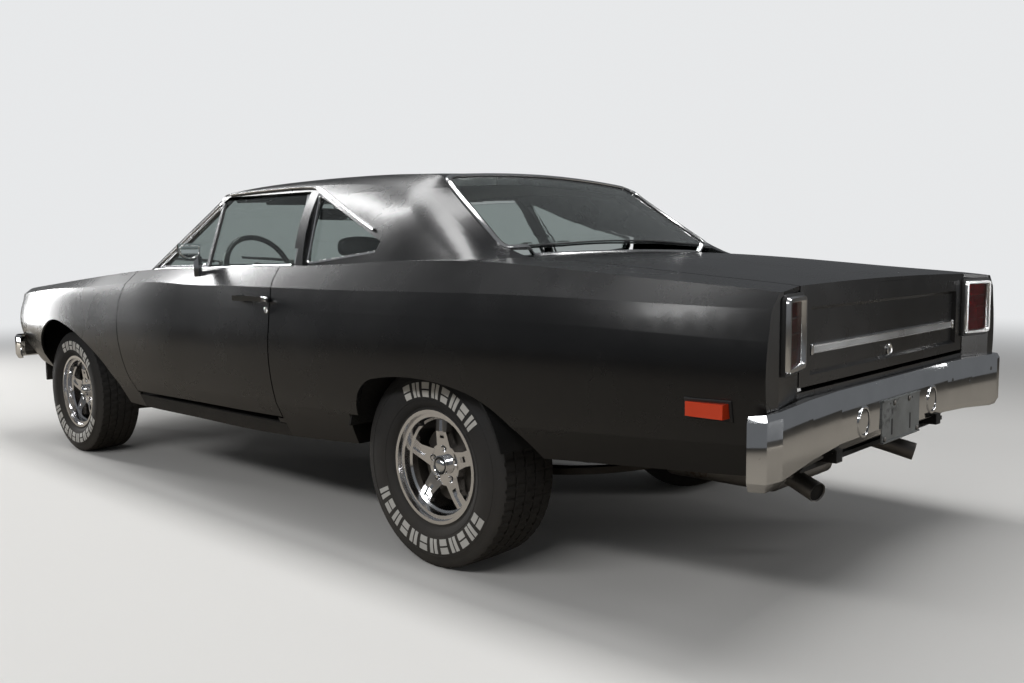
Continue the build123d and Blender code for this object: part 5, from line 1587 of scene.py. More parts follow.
@dataclass
class Cabin:
    """Everything inside: seats swelled by a cloth simulation, dashboard, trims, linings and controls."""

    voxel: float = 0.006
    pressure: float = 4.0
    frames: int = 20
    wheel_centre: Point = (0.52, 0.38, 1.0)
    column_angle: float = math.radians(24)
    channel_pitch: float = 0.058
    channel_depth: float = 0.006
    seam_width: float = 0.006
    front_cushions: tuple[tuple, ...] = (
        ("seat_cushion", (-0.245, 0.135, 0.475), (0.295, 0.625, 0.620), 0.0, 0.024, True, 4.5),
        ("seat_back", (-0.345, 0.143, 0.585), (-0.205, 0.617, 1.045), 0.045, 0.024, True, 4.5),
        ("headrest", (-0.355, 0.250, 1.055), (-0.262, 0.510, 1.165), 0.0, 0.016, False, 3.2))

    def pillow(self, shop: Workshop, name: str, low: Point, high: Point, lean: float, nodes: Sequence[str],
               cap: float, channels: bool, rounding: float = 4.0,
               cut: Optional[Change] = None) -> bpy.types.Object:
        """Make one cushion between two corners and swell it.

        Args:
            shop: what makes the meshes.
            name: the piece's name.
            low: its lowest corner.
            high: its highest corner.
            lean: how far its top lies behind its foot.
            nodes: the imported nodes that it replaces.
            cap: how far the cloth may move.
            channels: whether its face has sewn channels.
            rounding: how square its form is, from 2 for an egg upwards.
            cut: a last change to each point.

        Returns:
            The cushion.
        """
        middle = (Vector(low) + Vector(high)) / 2
        half = (Vector(high) - Vector(low)) / 2 - Vector((0.010, 0.010, 0.010))
        shell = bmesh.new()
        bmesh.ops.create_cube(shell, size=2.0)
        bmesh.ops.subdivide_edges(shell, edges=shell.edges, cuts=11, use_grid_fill=True)
        for vertex in shell.verts:
            u, v, w = vertex.co
            length = (abs(u) ** rounding + abs(v) ** rounding + abs(w) ** rounding) ** (1 / rounding)
            u, v, w = u / length, v / length, w / length
            pull = 1 - 0.035 * (1 - v * v) * abs(u) - 0.02 * (1 - w * w)
            vertex.co = middle + Vector((u * half.x * pull, v * half.y * (1 - 0.03 * (1 - u * u)),
                                         w * half.z))
            vertex.co.x -= lean * w / 2
        points = [vertex.co.copy() for vertex in shell.verts]
        faces = [[vertex.index for vertex in face.verts] for face in shell.faces]
        shell.free()
        cushion = shop.piece(name, points, faces, Look.VINYL, sharp=180)
        self.swell(cushion, cap)
        self.sew(cushion, middle, half, lean, channels, cut)
        self.finish(cushion, nodes)
        return cushion

    @staticmethod
    def finish(cushion: bpy.types.Object, nodes: Sequence[str]) -> None:
        """Smooth a cushion and hide the nodes that it replaces; a bench's mesh is fine enough undivided.

        Args:
            cushion: the cushion.
            nodes: the nodes of the source that it replaces.
        """
        if "rear" in cushion.name:
            smoothing = cushion.modifiers.new("smoothing", "SMOOTH")
            smoothing.iterations = 3
        else:
            smoothing = cushion.modifiers.new("smoothing", "SUBSURF")
            smoothing.levels = 1
            smoothing.render_levels = 1
        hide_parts(*nodes)

    def mirrored(self, shop: Workshop, name: str, left: bpy.types.Object, nodes: Sequence[str]) -> None:
        """Make the right cushion of a pair from the left one's mesh.

        Args:
            shop: the workshop that makes the pieces.
            name: the piece's name.
            left: the left cushion.
            nodes: the nodes of the source that it replaces.
        """
        points = [(vertex.co.x, -vertex.co.y, vertex.co.z) for vertex in left.data.vertices]
        faces = [tuple(reversed(polygon.vertices)) for polygon in left.data.polygons]
        self.finish(shop.piece(name, points, faces, Look.VINYL, sharp=180), nodes)

    def swell(self, cushion: bpy.types.Object, cap: float) -> None:
        """Remesh a cushion evenly, run the cloth simulation on it and keep the result within the cap.

        Args:
            cushion: the cushion.
            cap: how far a point may move.
        """
        scene = bpy.context.scene
        remesh = cushion.modifiers.new("even", "REMESH")
        remesh.mode = "VOXEL"
        remesh.voxel_size = self.voxel
        self.keep(cushion)
        before = [vertex.co.copy() for vertex in cushion.data.vertices]
        cloth = cushion.modifiers.new("cloth", "CLOTH")
        cloth.settings.use_pressure = True
        cloth.settings.uniform_pressure_force = self.pressure
        cloth.settings.effector_weights.gravity = 0.0
        cloth.settings.quality = 4
        cloth.point_cache.frame_start = 1
        cloth.point_cache.frame_end = self.frames
        for step in range(1, self.frames + 1):
            scene.frame_set(step)
        self.keep(cushion)
        scene.frame_set(1)
        for vertex, start in zip(cushion.data.vertices, before):
            move = vertex.co - start
            if move.length > cap:
                vertex.co = start + move.normalized() * cap

    @staticmethod
    def keep(piece: bpy.types.Object) -> None:
        """Put the result of a piece's modifiers into its mesh and remove them.

        Args:
            piece: the piece.
        """
        graph = bpy.context.evaluated_depsgraph_get()
        result = bpy.data.meshes.new_from_object(piece.evaluated_get(graph))
        piece.modifiers.clear()
        piece.data = result

    def sew(self, cushion: bpy.types.Object, middle: Vector, half: Vector, lean: float, channels: bool,
            cut: Optional[Change]) -> None:
        """Press the sewn channels and the border seams into a cushion.

        Args:
            cushion: the cushion.
            middle: the middle of its form.
            half: its half sizes.
            lean: how far its top lies behind its foot.
            channels: whether it has channels.
            cut: a last change to each point.
        """
        flat = half.z < half.x
        for vertex in cushion.data.vertices:
            out = vertex.co - middle
            out.x += lean * out.z / (2 * half.z)
            u, v, w = out.x / half.x, out.y / half.y, out.z / half.z
            along, facing, direction = (u, w, Vector((0, 0, -1))) if flat else (w, u, Vector((-1, 0, 0)))
            if channels and facing > 0.4:
                inside = max(0.0, min(1.0, (0.72 - abs(v)) * 14)) * max(0.0,
                                                                        min(1.0, (0.80 - abs(along)) * 12))
                wave = abs(math.sin(math.pi * out.y / self.channel_pitch))
                groove = (1 - min(1.0, wave * 2.2)) * inside
                length = half.x if flat else half.z
                border = math.exp(-((abs(v) - 0.74) * half.y / self.seam_width) ** 2) * (abs(along) < 0.84)
                border += math.exp(-((abs(along) - 0.82) * length / self.seam_width) ** 2) * (abs(v) < 0.76)
                vertex.co += direction * self.channel_depth * max(groove, min(1.0, border))
            if cut:
                cut(vertex.co)
        cushion.data.polygons.foreach_set("use_smooth", [True] * len(cushion.data.polygons))

    def front_seats(self, shop: Workshop) -> None:
        """Make both front seats: cushion, backrest and headrest, with their bases, tracks, hinges and
        headrest posts.

        Args:
            shop: the workshop that makes the pieces.
        """
        nodes = ("seats_front",)
        for name, low, high, lean, cap, channels, rounding in self.front_cushions:
            left = self.pillow(shop, f"{name}_left", low, high, lean, nodes, cap, channels, rounding)
            self.mirrored(shop, f"{name}_right", left, nodes)
        for side in Side:
            sign = side.value
            inner, outer = sorted((sign * 0.135, sign * 0.625))
            word = side.word
            for index, y in enumerate((inner + 0.18, outer - 0.18)):
                shop.tube(f"headrest_post_{word}_{index + 1}", [(-0.304, y, 0.97), (-0.306, y, 1.05)], 0.006,
                          Look.CHROME, up=(1, 0, 0))
            shop.block(f"seat_base_{word}", (-0.225, inner + 0.04, 0.392), (0.245, outer - 0.04, 0.486),
                       Look.BLACK_PLASTIC, bevel=0.012)
            for index, y in enumerate((inner + 0.055, outer - 0.075)):
                shop.block(f"seat_track_{word}_{index + 1}", (-0.24, y, 0.3665), (0.27, y + 0.020, 0.394),
                           Look.STEEL,
                           bevel=0.003)
            hinge_y = outer if side is Side.LEFT else inner
            shop.lathe(f"seat_hinge_{word}", (-0.236, hinge_y, 0.575),
                       [(-0.004, 0.032), (0.004, 0.032), (0.008, 0.026),
                                                                      (0.009, 0)], Look.CHROME,
                                                                      axis=(0, sign, 0), steps=32)

    def rear_seat(self, shop: Workshop) -> None:
        """Make the rear bench's cushion and backrest.

        Args:
            shop: the workshop that makes the pieces.
        """
        def slope(point: Vector) -> None:
            """Let the bench's top fall towards the back and keep clear of the tunnel.

            Args:
                point: the cushion's point, which this moves.
            """
            if point.z > 0.50:
                point.z -= (-0.53 - point.x) / 0.37 * 0.030
            if abs(point.y) < 0.16 and point.z < 0.49:
                point.z = 0.49

        self.pillow(shop, "rear_cushion", (-0.905, -0.545, 0.385), (-0.520, 0.545, 0.700), 0.0,
                    ("rear_seat_cushion",),
                    0.022, True, 5.0, slope)
        self.pillow(shop, "rear_backrest", (-1.065, -0.545, 0.565), (-0.925, 0.545, 0.990), 0.10,
                    ("rear_seat_back",),
                    0.022, True, 5.0)

    def steering(self, shop: Workshop) -> None:
        """Make the three-spoke steering wheel with its horn button and ring, and the column's shroud, stalk
        and knob.

        Args:
            shop: the workshop that makes the pieces.
        """
        along = Vector((-math.cos(self.column_angle), 0, math.sin(self.column_angle)))
        level = Vector((0, 1, 0))
        rise = along.cross(level) * -1
        if rise.z < 0:
            rise = -rise
        centre = Vector(self.wheel_centre) + along * 0.010
        rim_path = [centre + (level * math.cos(a) + rise * math.sin(a)) * 0.1775
                    for a in [2 * math.pi * i / 64 for i in range(64)]]
        body = "steering_wheel"
        rim = shop.sweep("steering_rim", rim_path, ring(0.0135, 14), Look.WHEEL_PLASTIC, body, tuple(along),
                         True)
        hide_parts("steering_wheel")
        for index, degrees in enumerate((8, 172, 270)):
            out = level * math.cos(math.radians(degrees)) + rise * math.sin(math.radians(degrees))
            path = [centre + out * reach - along * drop
                    for reach, drop in ((0.028, 0.004), (0.09, 0.004), (0.17, 0.0))]
            section = [(-0.017, -0.002), (0.017, -0.002), (0.017, 0.002), (-0.017, 0.002)]
            shop.sweep(f"steering_spoke_{index + 1}", path, section, Look.BRUSHED, body, tuple(along),
                       scales=[1.0, 0.85, 0.75])
        shop.lathe("horn_button", centre - along * 0.008, [(0, 0.040), (0.008, 0.040), (0.014, 0.036),
                                                           (0.018, 0.026),
                                                         (0.020, 0.012), (0.020, 0)], Look.WHEEL_PLASTIC,
                                                         body,
                   tuple(along), steps=40)
        shop.lathe("horn_ring", centre, [(0.004, 0.043), (0.009, 0.041), (0.010, 0.038)], Look.CHROME, body,
                   tuple(along), steps=40)
        foot = Vector(self.wheel_centre) - along * 0.012
        shop.lathe("column_shroud", foot, [(0, 0.024), (-0.010, 0.034), (-0.07, 0.038), (-0.11, 0.038)],
                   Look.BLACK_PLASTIC, axis=tuple(along), steps=32)
        stalk = foot - along * 0.035
        shop.tube("signal_stalk", [stalk + Vector((0, 0.034, 0)), stalk + Vector((-0.01, 0.085, 0.010)),
                                   stalk + Vector((-0.015, 0.125, 0.014))], 0.0035, Look.CHROME)
        shop.lathe("signal_knob", stalk + Vector((-0.015, 0.125, 0.014)), [(-0.004, 0.005), (0.006, 0.007),
                                                                        (0.012, 0.006), (0.014, 0)],
                                                                        Look.BLACK_PLASTIC,
                   axis=(0, 1, 0.1), steps=16)

    def dashboard(self, shop: Workshop) -> None:
        """Make the gauges, radio, heater panel, glove box, knobs and pad on the dashboard, and the pedals.

        Args:
            shop: the workshop that makes the pieces.
        """
        face = 0.640
        shop.block("gauge_panel", (face - 0.010, 0.155, 0.845), (face + 0.03, 0.655, 0.952), Look.BRUSHED,
                   bevel=0.010)
        for index, (y, radius) in enumerate(((0.585, 0.034), (0.475, 0.046), (0.365, 0.046), (0.265, 0.034),
                                             (0.195, 0.026))):
            centre = (face - 0.010, y, 0.900)
            shop.lathe(f"gauge_ring_{index + 1}", centre, [(0, radius + 0.004), (0.006, radius + 0.003),
                                                           (0.006, radius),
                                                         (0.001, radius - 0.001)], Look.CHROME,
                                                         axis=(-1, 0, 0), steps=36)
            shop.lathe(f"gauge_face_{index + 1}", centre, [(0.0015, radius - 0.0005), (0.0015, 0)], Look.DIAL,
                       axis=(-1, 0, 0), steps=36)
            marks, faces = [], []
            for tick in range(11):
                angle = math.radians(220 - tick * 26)
                out = Vector((0, -math.cos(angle), math.sin(angle)))
                side = Vector((0, math.sin(angle), math.cos(angle))) * 0.0006
                base = len(marks)
                for reach in (radius * 0.74, radius * 0.92):
                    for turn in (-1, 1):
                        marks.append(Vector(centre) + Vector((-0.0019, 0, 0)) + out * reach + side * turn)
                faces.append((base, base + 1, base + 3, base + 2))
            shop.piece(f"gauge_ticks_{index + 1}", marks, faces, Look.WHITE_RUBBER)
            needle = Vector((0, 0.55, 0.83)).normalized()
            shop.sweep(f"gauge_needle_{index + 1}", [Vector(centre) + Vector((-0.0024, 0, 0)),
                                                     Vector(centre) + Vector((-0.0024, 0,
                                                                              0)) + needle * radius * 0.8],
                       [(-0.0009, 0), (0.0009, 0), (0, 0.0008)], Look.ORANGE_LENS, ups=(-1, 0, 0))
        shop.block("radio", (face - 0.012, -0.115, 0.842), (face + 0.03, 0.105, 0.892), Look.BLACK_PLASTIC,
                   bevel=0.004)
        shop.block("radio_dial", (face - 0.014, -0.075, 0.858), (face + 0.01, 0.065, 0.878), Look.DIAL,
                   bevel=0.002)
        shop.block("heater_panel", (face - 0.010, -0.115, 0.902), (face + 0.03, 0.105, 0.945), Look.BRUSHED,
                   bevel=0.004)
        for index, (y, z) in enumerate(((0.088, 0.867), (-0.098, 0.867), (0.06, 0.924), (0.0, 0.924),
                                        (-0.06, 0.924),
                                        (0.66, 0.86), (0.66, 0.90), (0.66, 0.94))):
            shop.lathe(f"dash_knob_{index + 1}", (face - 0.010, y, z),
                       [(0, 0.009), (0.004, 0.011), (0.014, 0.010),
                                                                      (0.016, 0.007), (0.016, 0)],
                                                                      Look.CHROME,
                       axis=(-1, 0, 0), steps=20)
        shop.block("glove_box_door", (face - 0.006, -0.62, 0.83), (face + 0.03, -0.17, 0.945),
                   Look.BLACK_PLASTIC, bevel=0.008)
        shop.lathe("glove_box_lock", (face - 0.006, -0.395, 0.930),
                   [(0, 0.010), (0.004, 0.009), (0.005, 0)], Look.CHROME,
                   axis=(-1, 0, 0), steps=20)
        pad = [(0.652, y, 0.978) for y in (-0.69, -0.3, 0.0, 0.3, 0.69)]
        shop.sweep("dash_pad", pad, [(-0.014, -0.018), (0.014, -0.018), (0.016, 0.004), (0.004, 0.014),
                                     (-0.008, 0.012),
                                     (-0.016, 0.0)], Look.VINYL)
        for name, y, size, z in (("brake", 0.36, (0.045, 0.035), 0.50),
                                 ("clutch", 0.50, (0.035, 0.035), 0.50),
                                 ("gas", 0.22, (0.020, 0.060), 0.47)):
            shop.block(f"{name}_pedal", (0.640, y - size[0], z - size[1]),
                       (0.652, y + size[0], z + size[1]), Look.RUBBER,
                       bevel=0.004)
            shop.tube(f"{name}_pedal_arm", [(0.650, y, z), (0.70, y, z + 0.10), (0.78, y, z + 0.26)], 0.007,
                      Look.IRON)

    def controls(self, shop: Workshop) -> None:
        """Make the floor shifter, the rear-view mirror and the sun visors.

        Args:
            shop: the workshop that makes the pieces.
        """
        shop.lathe("shifter_boot", (0.34, 0.0, 0.484), [(0, 0.060), (0.012, 0.056), (0.020, 0.040),
                                                        (0.034, 0.034),
                                                      (0.046, 0.022), (0.060, 0.012), (0.062, 0)],
                                                      Look.RUBBER,
                   axis=(0, 0, 1), steps=32)
        stick = spline([(0.34, 0, 0.50), (0.33, 0.01, 0.60), (0.27, 0.02, 0.70), (0.25, 0.02, 0.735)])
        shop.tube("shifter", stick, 0.007, Look.CHROME, up=(0, 1, 0))
        shop.lathe("shifter_knob", (0.25, 0.02, 0.730), [(0, 0.010), (0.010, 0.020), (0.026, 0.025),
                                                         (0.042, 0.020),
                                                       (0.050, 0.010), (0.051, 0)], Look.WHEEL_PLASTIC,
                                                       axis=(0, 0, 1),
                   steps=28)
        shop.tube("mirror_stalk", [(0.400, 0, 1.338), (0.385, 0, 1.305), (0.362, 0, 1.285)], 0.0055,
                  Look.CHROME, up=(0, 1, 0))
        shop.prism("cabin_mirror", rounded([(0.350, -0.125, 1.253), (0.350, 0.125, 1.253),
                                            (0.350, 0.118, 1.312),
                                            (0.350, -0.118, 1.312)], 0.02, 4, True), (0.014, 0, 0),
                                            Look.CHROME,
                   bevel=0.004)
        shop.prism("cabin_mirror_glass", rounded([(0.3492, -0.117, 1.260), (0.3492, 0.117, 1.260),
                                                  (0.3492, 0.111, 1.305),
                                                  (0.3492, -0.111, 1.305)], 0.016, 4, True), (0.001, 0, 0),
                                                  Look.MIRROR,
                   bevel=0.0003)
        for side in Side:
            sign = side.value
            outline = rounded([(0.352, sign * 0.10, 1.326), (0.352, sign * 0.44, 1.318),
                               (0.222, sign * 0.46, 1.342),
                               (0.222, sign * 0.10, 1.352)], 0.025, 4, True)
            shop.prism(f"sun_visor_{side.word}", outline, (0, 0, 0.012), Look.VINYL, bevel=0.005)

    def door_cards(self, shop: Workshop) -> None:
        """Make the padded panel, armrest, crank and handle inside each door, and the panels behind.

        Args:
            shop: the workshop that makes the pieces.
        """
        for side in Side:
            sign = side.value
            body = f"door_{side.word}"
            inner = sign * 0.7475
            outline = rounded([(0.735, inner, 0.450), (0.765, inner, 0.945), (-0.395, inner, 0.970),
                               (-0.425, inner, 0.455)],
                              0.03, 4, True)
            shop.prism(f"door_card_{side.word}", outline, (0, -sign * 0.006, 0), Look.VINYL, body, 0.002)
            for index in range(13):
                x = 0.60 - index * 0.072
                path = [(x, sign * 0.7415, 0.60), (x, sign * 0.7415, 0.86)]
                shop.sweep(f"door_card_pleat_{side.word}_{index + 1}", path, strip(0.060, 0.004, 0.7),
                           Look.VINYL, body,
                           (0, -sign, 0))
            rest = [(0.18, sign * 0.716, 0.700), (-0.10, sign * 0.704, 0.705), (-0.28, sign * 0.712, 0.700)]
            shop.sweep(f"armrest_{side.word}", spline(rest), [(-0.030, -0.026), (0.030, -0.026),
                                                              (0.036, 0.0), (0.026, 0.024),
                                                              (-0.026, 0.024), (-0.034, 0.0)], Look.VINYL,
                                                              body)
            shop.tube(f"card_strip_{side.word}", [(0.74, sign * 0.740, 0.880),
                                                  (-0.40, sign * 0.740, 0.885)], 0.0035,
                      Look.CHROME, body)
            hub = (0.16, sign * 0.741, 0.640)
            shop.lathe(f"window_crank_hub_{side.word}", hub, [(0, 0.022), (0.012, 0.018), (0.018, 0.010),
                                                              (0.019, 0)],
                       Look.CHROME, body, (0, -sign, 0), steps=24)
            arm = [(0.16, sign * 0.722, 0.640), (0.22, sign * 0.718, 0.612), (0.27, sign * 0.716, 0.590)]
            shop.sweep(f"window_crank_{side.word}", arm, strip(0.012, 0.006), Look.CHROME, body,
                       (0, -sign, 0))
            shop.lathe(f"window_crank_knob_{side.word}", (0.27, sign * 0.716, 0.590),
                       [(0, 0.011), (0.022, 0.012),
                                                                                    (0.030, 0.009),
                                                                                    (0.031, 0)],
                       Look.BLACK_PLASTIC, body, (0, -sign, 0), steps=20)
            pull = [(0.47, sign * 0.735, 0.790), (0.42, sign * 0.722, 0.793), (0.36, sign * 0.722, 0.796)]
            shop.sweep(f"inner_handle_{side.word}", pull, strip(0.016, 0.005), Look.CHROME, body,
                       (0, -sign, 0))
            outline = rounded([(-0.49, inner, 0.50), (-0.49, inner, 0.985), (-0.97, inner, 1.02),
                               (-0.97, inner, 0.66)],
                              0.03, 4, True)
            shop.prism(f"quarter_card_{side.word}", outline, (0, -sign * 0.006, 0), Look.VINYL, bevel=0.002)

    def linings(self, shop: Workshop) -> None:
        """Lay the headliner, the carpet, the rear shelf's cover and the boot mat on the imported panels.

        Args:
            shop: the workshop that makes the pieces.
        """
        grids = (("headliner", ["roof"], (-1.02, 0.34), (-0.55, 0.55), 1.20, 1, -0.006, Look.VINYL, 0.04),
                 ("carpet", ["underbody"], (-0.74, 0.79), (-0.735, 0.735), 0.90, -1, 0.005, Look.CARPET,
                  0.03),
                 ("boot_mat", ["underbody"], (-2.44, -1.72), (-0.53, 0.53), 0.90, -1, 0.004, Look.CARPET,
                  0.04))
        for name, nodes, (x_low, x_high), (y_low, y_high), start, way, lift, look, step in grids:
            columns = max(2, round((x_high - x_low) / step))
            rows = max(2, round((y_high - y_low) / step))
            points, faces = [], []
            last = start + way * 0.17
            for i in range(columns + 1):
                for j in range(rows + 1):
                    x = x_low + (x_high - x_low) * i / columns
                    y = y_low + (y_high - y_low) * j / rows
                    met = shop.hit(nodes, (x, y, start), (0, 0, way))
                    last = met[0].z + lift if met else last
                    points.append((x, y, last))
            for i in range(columns):
                for j in range(rows):
                    a = i * (rows + 1) + j
                    faces.append((a, a + 1, a + rows + 2, a + rows + 1))
            lining = shop.piece(name, points, faces, look, sharp=60)
            thick = lining.modifiers.new("thickness", "SOLIDIFY")
            thick.thickness = 0.003
        shop.block("shelf_cover", (-1.438, -0.60, 0.9985), (-1.084, 0.60, 1.004), Look.VINYL, bevel=0.002)
        for side in Side:
            grille = [(-1.30, side.value * 0.36, 1.0045)]
            shop.lathe(f"shelf_speaker_{side.word}", grille[0],
                       [(0, 0.080), (0.004, 0.078), (0.005, 0.070), (0.003, 0.066),
                                                               (0.003, 0)], Look.BLACK_PLASTIC,
                                                               axis=(0, 0, 1), steps=36)

    def build(self, shop: Workshop) -> None:
        """Make the whole cabin.

        Args:
            shop: the workshop that makes the pieces.
        """
        self.front_seats(shop)
        self.rear_seat(shop)
        self.steering(shop)
        self.dashboard(shop)
        self.controls(shop)
        self.door_cards(shop)
        self.linings(shop)


@dataclass
class EngineBay:
    """The engine in place of its plain block, with the radiator and what is fixed to the walls of its bay."""

    def block(self, shop: Workshop) -> None:
        """Make the engine's block, sump, heads, rocker covers, manifolds and gearbox.

        Args:
            shop: the workshop that makes the pieces.
        """
        profile = [(1.08, -0.155, 0.42), (1.08, -0.155, 0.55), (1.08, -0.215, 0.63), (1.08, -0.12, 0.70),
                   (1.08, 0.12, 0.70),
                   (1.08, 0.215, 0.63), (1.08, 0.155, 0.55), (1.08, 0.155, 0.42)]
        block = shop.prism("engine_block", profile, (0.50, 0, 0), Look.ENGINE, bevel=0.010)
        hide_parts("engine")
        shop.prism("sump", [(1.10, -0.12, 0.422), (1.10, 0.12, 0.422), (1.10, 0.095, 0.334),
                            (1.10, -0.095, 0.334)],
                   (0.42, 0, 0), Look.IRON, bevel=0.012)
        gearbox = [(1.085, 0.165), (1.02, 0.150), (0.96, 0.100), (0.78, 0.085), (0.76, 0.070),
                   (0.62, 0.050), (0.602, 0.045)]
        turned = [(1.085, 0)] + [(x, min(r, 0.088)) for x, r in gearbox] + [(0.602, 0)]
        shop.lathe("gearbox", (0, 0, 0.420), turned, Look.CAST, axis=(1, 0, 0), steps=32)
        for side in Side:
            sign = side.value
            word = side.word
            head = [(1.10, sign * 0.095, 0.700), (1.10, sign * 0.205, 0.610), (1.10, sign * 0.245, 0.650),
                    (1.10, sign * 0.135, 0.745)]
            shop.prism(f"cylinder_head_{word}", head, (0.46, 0, 0), Look.ENGINE, bevel=0.006)
            cover = [(1.12, sign * 0.142, 0.742), (1.12, sign * 0.238, 0.660), (1.12, sign * 0.254, 0.694),
                     (1.12, sign * 0.222, 0.742),
                     (1.12, sign * 0.172, 0.772)]
            shop.prism(f"rocker_cover_{word}", cover, (0.42, 0, 0), Look.CHROME, bevel=0.010)
            shop.lathe(f"filler_cap_{word}", (1.46, sign * 0.190, 0.757),
                       [(-0.004, 0.018), (0.012, 0.018), (0.020, 0.024),
                                                                       (0.028, 0.022), (0.029, 0)],
                                                                       Look.CHROME,
                       axis=(0, sign * 0.4, 1), steps=24)
            log = [(1.14 + 0.02 * i, sign * 0.246, 0.585) for i in range(20)]
            shop.tube(f"exhaust_manifold_{word}", log, 0.014, Look.CAST)
            for port in range(4):
                x = 1.165 + port * 0.108
                shop.tube(f"exhaust_port_{word}_{port + 1}", spline([(x, sign * 0.215, 0.628),
                                                                     (x, sign * 0.236, 0.618),
                                                                   (x, sign * 0.245, 0.590)]), 0.012,
                                                                   Look.CAST, up=(1, 0, 0))

    def top(self, shop: Workshop) -> None:
        """Make the intake, the carburettor, the round air cleaner, the distributor and the coil.

        Args:
            shop: the workshop that makes the pieces.
        """
        shop.block("intake", (1.14, -0.10, 0.690), (1.52, 0.10, 0.728), Look.CAST, bevel=0.012)
        shop.block("carburettor", (1.27, -0.055, 0.722), (1.41, 0.055, 0.772), Look.CAST, bevel=0.008)
        cleaner = (1.34, 0, 0.765)
        shop.lathe("air_cleaner_base", cleaner, [(0, 0.06), (0.004, 0.17), (0.012, 0.178), (0.014, 0.165)],
                   Look.BLACK_PLASTIC,
                   axis=(0, 0, 1), steps=56)
        folds = [(0.008, 0.160), (0.044, 0.160)]
        shop.lathe("air_filter", cleaner, folds, Look.FILTER, axis=(0, 0, 1), steps=120)
        shop.lathe("air_cleaner_lid", cleaner, [(0.038, 0.170), (0.046, 0.176), (0.050, 0.168),
                                                (0.052, 0.06), (0.0545, 0)],
                   Look.CHROME, axis=(0, 0, 1), steps=56)
        shop.lathe("wing_nut", (1.34, 0, 0.8155), [(0, 0.010), (0.002, 0.010), (0.004, 0.004), (0.0042, 0)],
                   Look.CHROME,
                   axis=(0, 0, 1), steps=16)
        shop.lathe("distributor", (1.09, 0.03, 0.69), [(0, 0.030), (0.030, 0.032), (0.045, 0.040),
                                                       (0.070, 0.038), (0.078, 0.020),
                                                     (0.080, 0)], Look.BLACK_PLASTIC, axis=(0, 0, 1),
                                                     steps=28)
        shop.lathe("ignition_coil", (1.19, 0.075, 0.748), [(0, 0), (0, 0.022), (0.050, 0.022),
                                                           (0.056, 0.012), (0.068, 0.010),
                                                       (0.069, 0)], Look.BLACK_PLASTIC, axis=(1, 0, 0),
                                                       steps=24)

    def front(self, shop: Workshop) -> None:
        """Make the fan, pulleys, belt, alternator and water pump at the engine's front.

        Args:
            shop: the workshop that makes the pieces.
        """
        shaft = (1.58, 0, 0.600)
        shop.lathe("water_pump", shaft, [(0, 0), (0, 0.060), (0.030, 0.055), (0.034, 0.040), (0.070, 0.036),
                                         (0.071, 0)],
                   Look.CAST, axis=(1, 0, 0), steps=32)
        for name, y, z, radius in (("pump", 0.0, 0.600, 0.070), ("crank", 0.0, 0.445, 0.078),
                                   ("alternator", -0.175, 0.640, 0.036)):
            shop.lathe(f"{name}_pulley", (1.645, y, z), [(-0.012, 0), (-0.012, radius),
                                                         (-0.004, radius - 0.010), (0.004, radius - 0.010),
                                                       (0.012, radius), (0.012, 0)], Look.STEEL,
                                                       axis=(1, 0, 0), steps=40)
        belt = [(1.645, 0.064, 0.44), (1.645, 0.058, 0.60), (1.645, 0.03, 0.655), (1.645, -0.17, 0.668),
                (1.645, -0.20, 0.62),
                (1.645, -0.068, 0.43), (1.645, 0.0, 0.378)]
        shop.sweep("fan_belt", spline(belt, 8, True), [(-0.005, -0.004), (0.005, -0.004), (0.004, 0.004),
                                                       (-0.004, 0.004)],
                   Look.RUBBER, ups=(1, 0, 0), closed=True)
        shop.lathe("alternator", (1.56, -0.175, 0.640), [(0, 0), (0, 0.050), (0.010, 0.056), (0.050, 0.056),
                                                         (0.060, 0.048),
                                                       (0.062, 0)], Look.CAST, axis=(1, 0, 0), steps=32)
        for blade in range(6):
            angle = math.radians(blade * 60)
            out = Vector((0, math.cos(angle), math.sin(angle)))
            turn = Vector((0, -math.sin(angle), math.cos(angle)))
            middle = Vector((1.676, 0, 0.600))
            outline = [middle + out * 0.030 + turn * 0.020,
                       middle + out * 0.150 + turn * 0.045 + Vector((-0.010, 0, 0)),
                       middle + out * 0.158 - turn * 0.030 + Vector((0.014, 0, 0)),
                       middle + out * 0.030 - turn * 0.020]
            shop.prism(f"fan_blade_{blade + 1}", outline, (0.0016, 0, 0), Look.STEEL, bevel=0.0005)
        shop.lathe("fan_hub", (1.668, 0, 0.600), [(0, 0), (0, 0.036), (0.014, 0.036), (0.018, 0.020),
                                                  (0.018, 0)], Look.STEEL,
                   axis=(1, 0, 0), steps=32)

